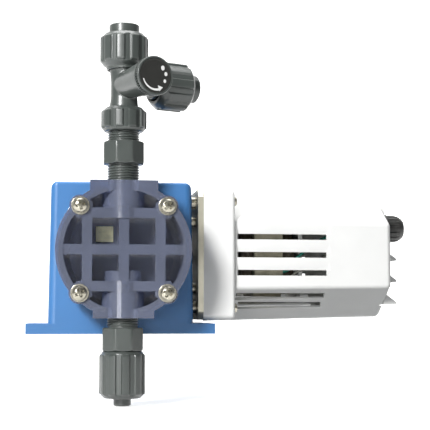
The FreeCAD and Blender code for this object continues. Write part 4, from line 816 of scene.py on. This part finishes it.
def stroke_knob():
    """Grip knob with a dished face and a hub."""
    low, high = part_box("stroke_knob")
    radius = (high.x - low.x) / 2
    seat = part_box("rear_cover")[1].y + 0.3 * MM
    length = high.y - seat
    stem = seat - low.y
    flange = 3.2 * MM
    grip = radius - 0.8 * MM
    dish = 1.2 * MM
    profile = [(0, 0), (radius, 0), (radius, flange), (grip, flange + 0.4 * MM),
               (grip, length - 2 * MM), (radius - 2.6 * MM, length), (radius - 6 * MM, length),
               (radius - 8 * MM, length - dish), (0, length - dish)]
    limit = ribbed(grip, 0.9 * MM, 24, 0.5, 0.12)

    def shape(angle, r, height):
        if height < flange + 0.2 * MM or r < radius - 5 * MM:
            return r
        return limit(angle, r)

    bore, hub = 3.05 * MM, 5 * MM
    hub_mesh = revolved("hub", [(bore, 0), (hub, 0), (hub, stem), (bore, stem)], 48)
    hub_mesh.transform(Matrix.Translation((0, 0, -stem)))
    grip_mesh = revolved("knob", eased(profile, 0.6 * MM), 288, shape)
    centre = middle("stroke_knob")
    new_piece("stroke_knob_grip", joined("stroke_knob", [grip_mesh, hub_mesh]),
              (centre.x, seat, centre.z), "back", "stroke_knob", "black_plastic", ["stroke_knob"])
    line = slab("line", [(-0.5 * MM, 9 * MM), (0.5 * MM, 9 * MM), (0.5 * MM, radius - 3 * MM),
                         (-0.5 * MM, radius - 3 * MM)], 0.1 * MM)
    new_piece("stroke_knob_line", line, (centre.x, high.y - 0.12 * MM, centre.z), "back",
              "stroke_knob", "ink")


def stroke_scale():
    """Tick marks on the rear cover round the stroke knob, every fifth one longer."""
    low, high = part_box("stroke_knob")
    inner = (high.x - low.x) / 2 + 2 * MM
    ticks = []
    for i in range(11):
        long_tick = i % 5 == 0
        outer = inner + (3.6 if long_tick else 2.2) * MM
        half = (0.45 if long_tick else 0.3) * MM
        mesh = slab("tick", [(-half, inner), (half, inner), (half, outer), (-half, outer)],
                    0.12 * MM)
        mesh.transform(Matrix.Rotation(math.radians(150 - 30 * i), 4, "Z"))
        ticks.append(mesh)
    centre = middle("stroke_knob")
    new_piece("stroke_scale", joined("ticks", ticks),
              (centre.x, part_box("rear_cover")[1].y, centre.z), "back", "housing", "ink")


def gland():
    """Cord gland with a fluted nut and a domed clamping end."""
    low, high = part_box("cord_gland")
    radius = (high.z - low.z) / 2
    length = high.x - low.x
    bore, stem = 4 * MM, 7.8 * MM
    nut = length - 18 * MM
    collar = 4.6 * MM
    dome = length - 7.2 * MM
    core = radius - 0.9 * MM
    profile = [(bore, 0), (stem, 0), (stem, nut), (radius, nut), (radius, nut + collar),
               (core, nut + collar + 0.4 * MM), (core, dome),
               (radius - 1.6 * MM, dome + 3 * MM), (radius - 3.4 * MM, dome + 5.8 * MM),
               (radius - 5 * MM, length), (bore, length)]
    limit = ribbed(core, 0.9 * MM, 14, 0.4, 0.14)

    def shape(angle, r, height):
        if r < core - 1 * MM or height < nut + collar + 0.1 * MM:
            return r
        return limit(angle, r)

    mesh = revolved("gland", eased(profile, 0.5 * MM), 192, shape)
    centre = middle("cord_gland")
    new_piece("cord_gland_moulding", mesh, (low.x, centre.y, centre.z), "right", "housing",
              "black_plastic", ["cord_gland"])


def windings():
    """The end turns of the motor's winding as bundles of wire, with grooves between the wires."""
    bundles = []
    points, grooves = 84, 14
    for low, high in sorted(island_boxes("motor_coils"), key=lambda box: box[0].x):
        outer = (high.z - low.z) / 2
        half_high, half_long = 4.2 * MM, (high.x - low.x) / 2
        profile = []
        for i in range(points):
            angle = TURN * i / points
            swell = 1 - 0.045 * (1 + math.cos(grooves * angle))
            across, along = math.cos(angle), math.sin(angle)
            profile.append(
                (outer - half_high + half_high * swell * math.copysign(abs(across) ** 0.7, across),
                 half_long + half_long * swell * math.copysign(abs(along) ** 0.7, along)))
        mesh = revolved("bundle", profile, 120)
        mesh.transform(Matrix.Translation((low.x, motor_axis.y, motor_axis.z)) @ TURNS["right"])
        bundles.append(mesh)
    new_piece("motor_windings", joined("windings", bundles), (0, 0, 0), "up", "housing", "copper",
              ["motor_coils"])


def return_spring():
    """The plunger's coil spring, built as one fixed coil at one length; the real one shortens as the
    plunger goes forward.
    """
    low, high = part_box("return_spring")
    centre = (low + high) / 2
    wire = 0.8 * MM
    turns, steps, sides = 6, 288, 14
    radius = (high.x - low.x) / 2 - wire
    length = high.y - low.y - 2 * wire
    rings = []
    for i in range(-1, steps + 2):
        share = clamp(i / steps)
        angle = TURN * turns * share
        thick = wire if 0 <= i <= steps else 0
        ring = []
        for j in range(sides):
            around = TURN * j / sides
            r = radius + thick * math.cos(around)
            ring.append((r * math.cos(angle), r * math.sin(angle),
                         wire + length * share + thick * math.sin(around)))
        rings.append(ring)
    mesh = ring_mesh("spring", rings, closed=False)
    piece = new_piece("return_spring_coil", mesh, (centre.x, high.y, centre.z), "front",
                      "housing", "shaft_steel", ["return_spring"])
    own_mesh(piece)


def lead(name, route, slot, node):
    """An insulated wire on one smooth curve through the motor cover."""
    curve = bpy.data.curves.new(name, "CURVE")
    curve.dimensions = "3D"
    spline = curve.splines.new("NURBS")
    spline.points.add(len(route) - 1)
    for point, spot in zip(spline.points, route):
        point.co = (*[value * MM for value in spot], 1)
    spline.order_u = 3
    spline.use_endpoint_u = True
    spline.resolution_u = 10
    bare = bpy.data.objects.new(name, curve)
    bpy.context.scene.collection.objects.link(bare)
    bpy.context.view_layer.update()
    line = bpy.data.meshes.new_from_object(bare)
    bpy.data.meshes.remove(line)
    curve.bevel_depth = WIRE_RADIUS
    curve.bevel_resolution = 5
    curve.use_fill_caps = True
    curve.materials.append(looks[slot])
    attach(bare, "housing")
    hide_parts(node)


def leads():
    """The earth wire and the two supply leads."""
    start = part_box("motor_stator")[1].x / MM
    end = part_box("ground_wire")[1].x / MM
    axis = motor_axis.z / MM
    gland_z = middle("cord_gland").z / MM
    lead("earth_lead", [(start, -30, axis - 12), (start + 5, -30, axis - 12),
                        (start + 10, -34, axis - 2), (start + 19, -34, axis + 5),
                        (start + 32, -29, axis + 14), (start + 50, -16, gland_z - 4),
                        (end, -2.2, gland_z + 1.6)], "green_pvc", "ground_wire")
    lead("front_supply_lead", [(start, -30, axis - 18), (start + 5, -30, axis - 18),
                               (start + 11, -34, axis - 11), (start + 24, -33, axis - 8),
                               (start + 40, -21, axis + 6), (start + 56, -10, gland_z - 8),
                               (end, 0, gland_z - 2.4)], "pale_pvc", "supply_leads")
    lead("rear_supply_lead", [(start, 30, axis - 12), (start + 5, 30, axis - 12),
                              (start + 11, 34, axis - 4), (start + 24, 33, axis + 6),
                              (start + 38, 21, axis + 14), (start + 54, 9, gland_z - 3),
                              (end, 2.4, gland_z + 1.6)], "pale_pvc", "supply_leads")


def box_cutter(low, high):
    """A box to cut with, from its two corners."""
    work = bmesh.new()
    bmesh.ops.create_cube(work, size=1)
    for vert in work.verts:
        for axis in range(3):
            vert.co[axis] = high[axis] if vert.co[axis] > 0 else low[axis]
    mesh = bpy.data.meshes.new("cutter")
    work.to_mesh(mesh)
    work.free()
    return mesh


def motor_cover():
    """The cover's moulding with softened edges and its lower vents opened to their full height."""
    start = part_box("cover_screws")[1].x - 0.4 * MM
    end = start + 67 * MM
    back, front = -6 * MM, -60 * MM
    half = 1.25 * MM
    slots = []
    for drop, left_cut, right_cut in ((29.2 * MM, 0, 0), (35.6 * MM, 3 * MM, 1 * MM)):
        height = motor_axis.z - drop
        slots.append(box_cutter((start + left_cut, front, height - half),
                                (end - right_cut, back, height + half)))
    cutter = bpy.data.objects.new("cutter", joined("cutter", slots))
    bare = bpy.data.objects.new("bare_cover", frame["nodes"]["motor_cover"].data.copy())
    for thing in (cutter, bare):
        bpy.context.scene.collection.objects.link(thing)
    weld_points(bare)
    cut = bare.modifiers.new("cut", "BOOLEAN")
    cut.operation = "DIFFERENCE"
    cut.solver = "EXACT"
    cut.object = cutter
    round_edges(bare, 0.35 * MM, 2)
    bpy.context.view_layer.update()
    shape = bare.evaluated_get(bpy.context.evaluated_depsgraph_get())
    mesh = bpy.data.meshes.new_from_object(shape)
    bpy.data.objects.remove(bare)
    bpy.data.objects.remove(cutter)
    mesh.materials.clear()
    piece = new_piece("motor_cover_moulding", mesh, (0, 0, 0), "up", "housing", "white_plastic",
                      ["motor_cover"])
    even_shading(piece)


# ---------------------------------------------------------------- stage

def area_light(name, spot, size, power, target=(0.06, -0.04, 0.08)):
    """A square soft light that faces a point, the object's middle unless another is given."""
    data = bpy.data.lights.new(name, "AREA")
    data.shape = "SQUARE"
    data.size = size
    data.energy = power
    light = bpy.data.objects.new(name, data)
    light.location = spot
    light.rotation_euler = (Vector(target) - Vector(spot)).to_track_quat("-Z", "Y").to_euler()
    bpy.context.scene.collection.objects.link(light)


def paper_sweep():
    """Floor under the object that curves up into a backdrop behind it."""
    floor_z = cad_box[0].z - 0.0006
    near, far, top, half_width = -4.0, 1.2, 4.0, 5.0
    bend = 0.9
    steps = 12
    line = [(near, 0.0), (far, 0.0)]
    for i in range(1, steps + 1):
        angle = math.pi / 2 * i / steps
        line.append((far + bend * math.sin(angle), bend - bend * math.cos(angle)))
    line.append((far + bend, top))
    points = [(x, y, floor_z + z) for y, z in line for x in (-half_width, half_width)]
    faces = [(2 * i, 2 * i + 1, 2 * i + 3, 2 * i + 2) for i in range(len(line) - 1)]
    mesh = bpy.data.meshes.new("floor")
    mesh.from_pydata(points, [], faces)
    mesh.shade_smooth()
    floor = bpy.data.objects.new("floor", mesh)
    bpy.context.scene.collection.objects.link(floor)
    paper = Finish("paper sweep", Roughness=0.9, Emission_Color=(1, 1, 0.99, 1),
                   Emission_Strength=0.75)
    paper.colour(paper.ramp(paper.noise(3.0, 2), [(0.3, (0.88, 0.885, 0.88)),
                                                  (0.7, (0.92, 0.92, 0.915))]))
    mesh.materials.append(paper.material)
    floor.visible_diffuse = False


def surroundings():
    """A dim even light from all round, and a pale colour where the view goes past the paper."""
    world = bpy.data.worlds.new("studio")
    world.use_nodes = True
    tree = world.node_tree
    sky = tree.nodes["Background"]
    sky.inputs["Color"].default_value = (0.95, 0.98, 1.0, 1)
    sky.inputs["Strength"].default_value = 0.22
    beyond = tree.nodes.new("ShaderNodeBackground")
    beyond.inputs["Color"].default_value = (0.97, 0.98, 1.0, 1)
    beyond.inputs["Strength"].default_value = 0.9
    path = tree.nodes.new("ShaderNodeLightPath")
    either = tree.nodes.new("ShaderNodeMixShader")
    tree.links.new(path.outputs["Is Camera Ray"], either.inputs["Fac"])
    tree.links.new(sky.outputs["Background"], either.inputs[1])
    tree.links.new(beyond.outputs["Background"], either.inputs[2])
    tree.links.new(either.outputs["Shader"], tree.nodes["World Output"].inputs["Surface"])
    bpy.context.scene.world = world


def lights():
    """A key at the upper left, weak fills in front and above, and a light on the backdrop."""
    area_light("key", (-0.75, -1.15, 0.7), 0.34, 30)
    area_light("fill", (-0.5, -1.4, -0.05), 0.5, 4.5)
    area_light("top", (0.1, -0.1, 1.3), 0.8, 1.5)
    area_light("sweep", (0.0, 0.3, 1.6), 1.4, 45, (0.0, 2.0, 0.3))


def camera():
    """The camera, low and a little left of the head."""
    eye = bpy.data.objects.new("camera", bpy.data.cameras.new("camera"))
    eye.data.sensor_width = 36
    eye.data.lens = 36 * 1204 / 430
    eye.data.clip_start = 0.05
    eye.data.clip_end = 30
    eye.location = (-0.038605, -0.912947, 0.015731)
    way = Vector((0.121477, 0.989349, 0.080199))
    eye.rotation_euler = way.to_track_quat("-Z", "Y").to_euler()
    bpy.context.scene.collection.objects.link(eye)
    bpy.context.scene.camera = eye
    bpy.context.scene.view_settings.view_transform = "Standard"


# ---------------------------------------------------------------- build

def build():
    """Makes every piece."""
    paint_frame()
    paper_sweep()
    surroundings()
    lights()
    camera()
    leads()
    valve_bodies()
    nuts()
    tee_body()
    bleed_knob()
    knob_face()
    knob_marks()
    screws("head_screws", "front", 5 * MM, 3.8 * MM, 3 * MM, 0.5)
    screws("cover_screws", "right", 3.4 * MM, 2.4 * MM, 2 * MM, 0.3)
    screws("rear_cover_screws", "back", 3.5 * MM, 2.6 * MM, 2 * MM, 0.2)
    stroke_knob()
    stroke_scale()
    gland()
    windings()
    return_spring()
    soften("pump_head", 0.7 * MM)
    motor_cover()
    soften("rear_cover", 0.6 * MM)
    soften("motor_plate", 0.3 * MM, 2)
    for node in ("discharge_connector", "suction_connector", "bleed_port_connector"):
        soften(node, 0.35 * MM)
    for node in ("head_washers", "spacer_sleeves", "motor_bolts", "plate_screws",
                 "backing_plate"):
        soften(node, 0.2 * MM, 2)


build()
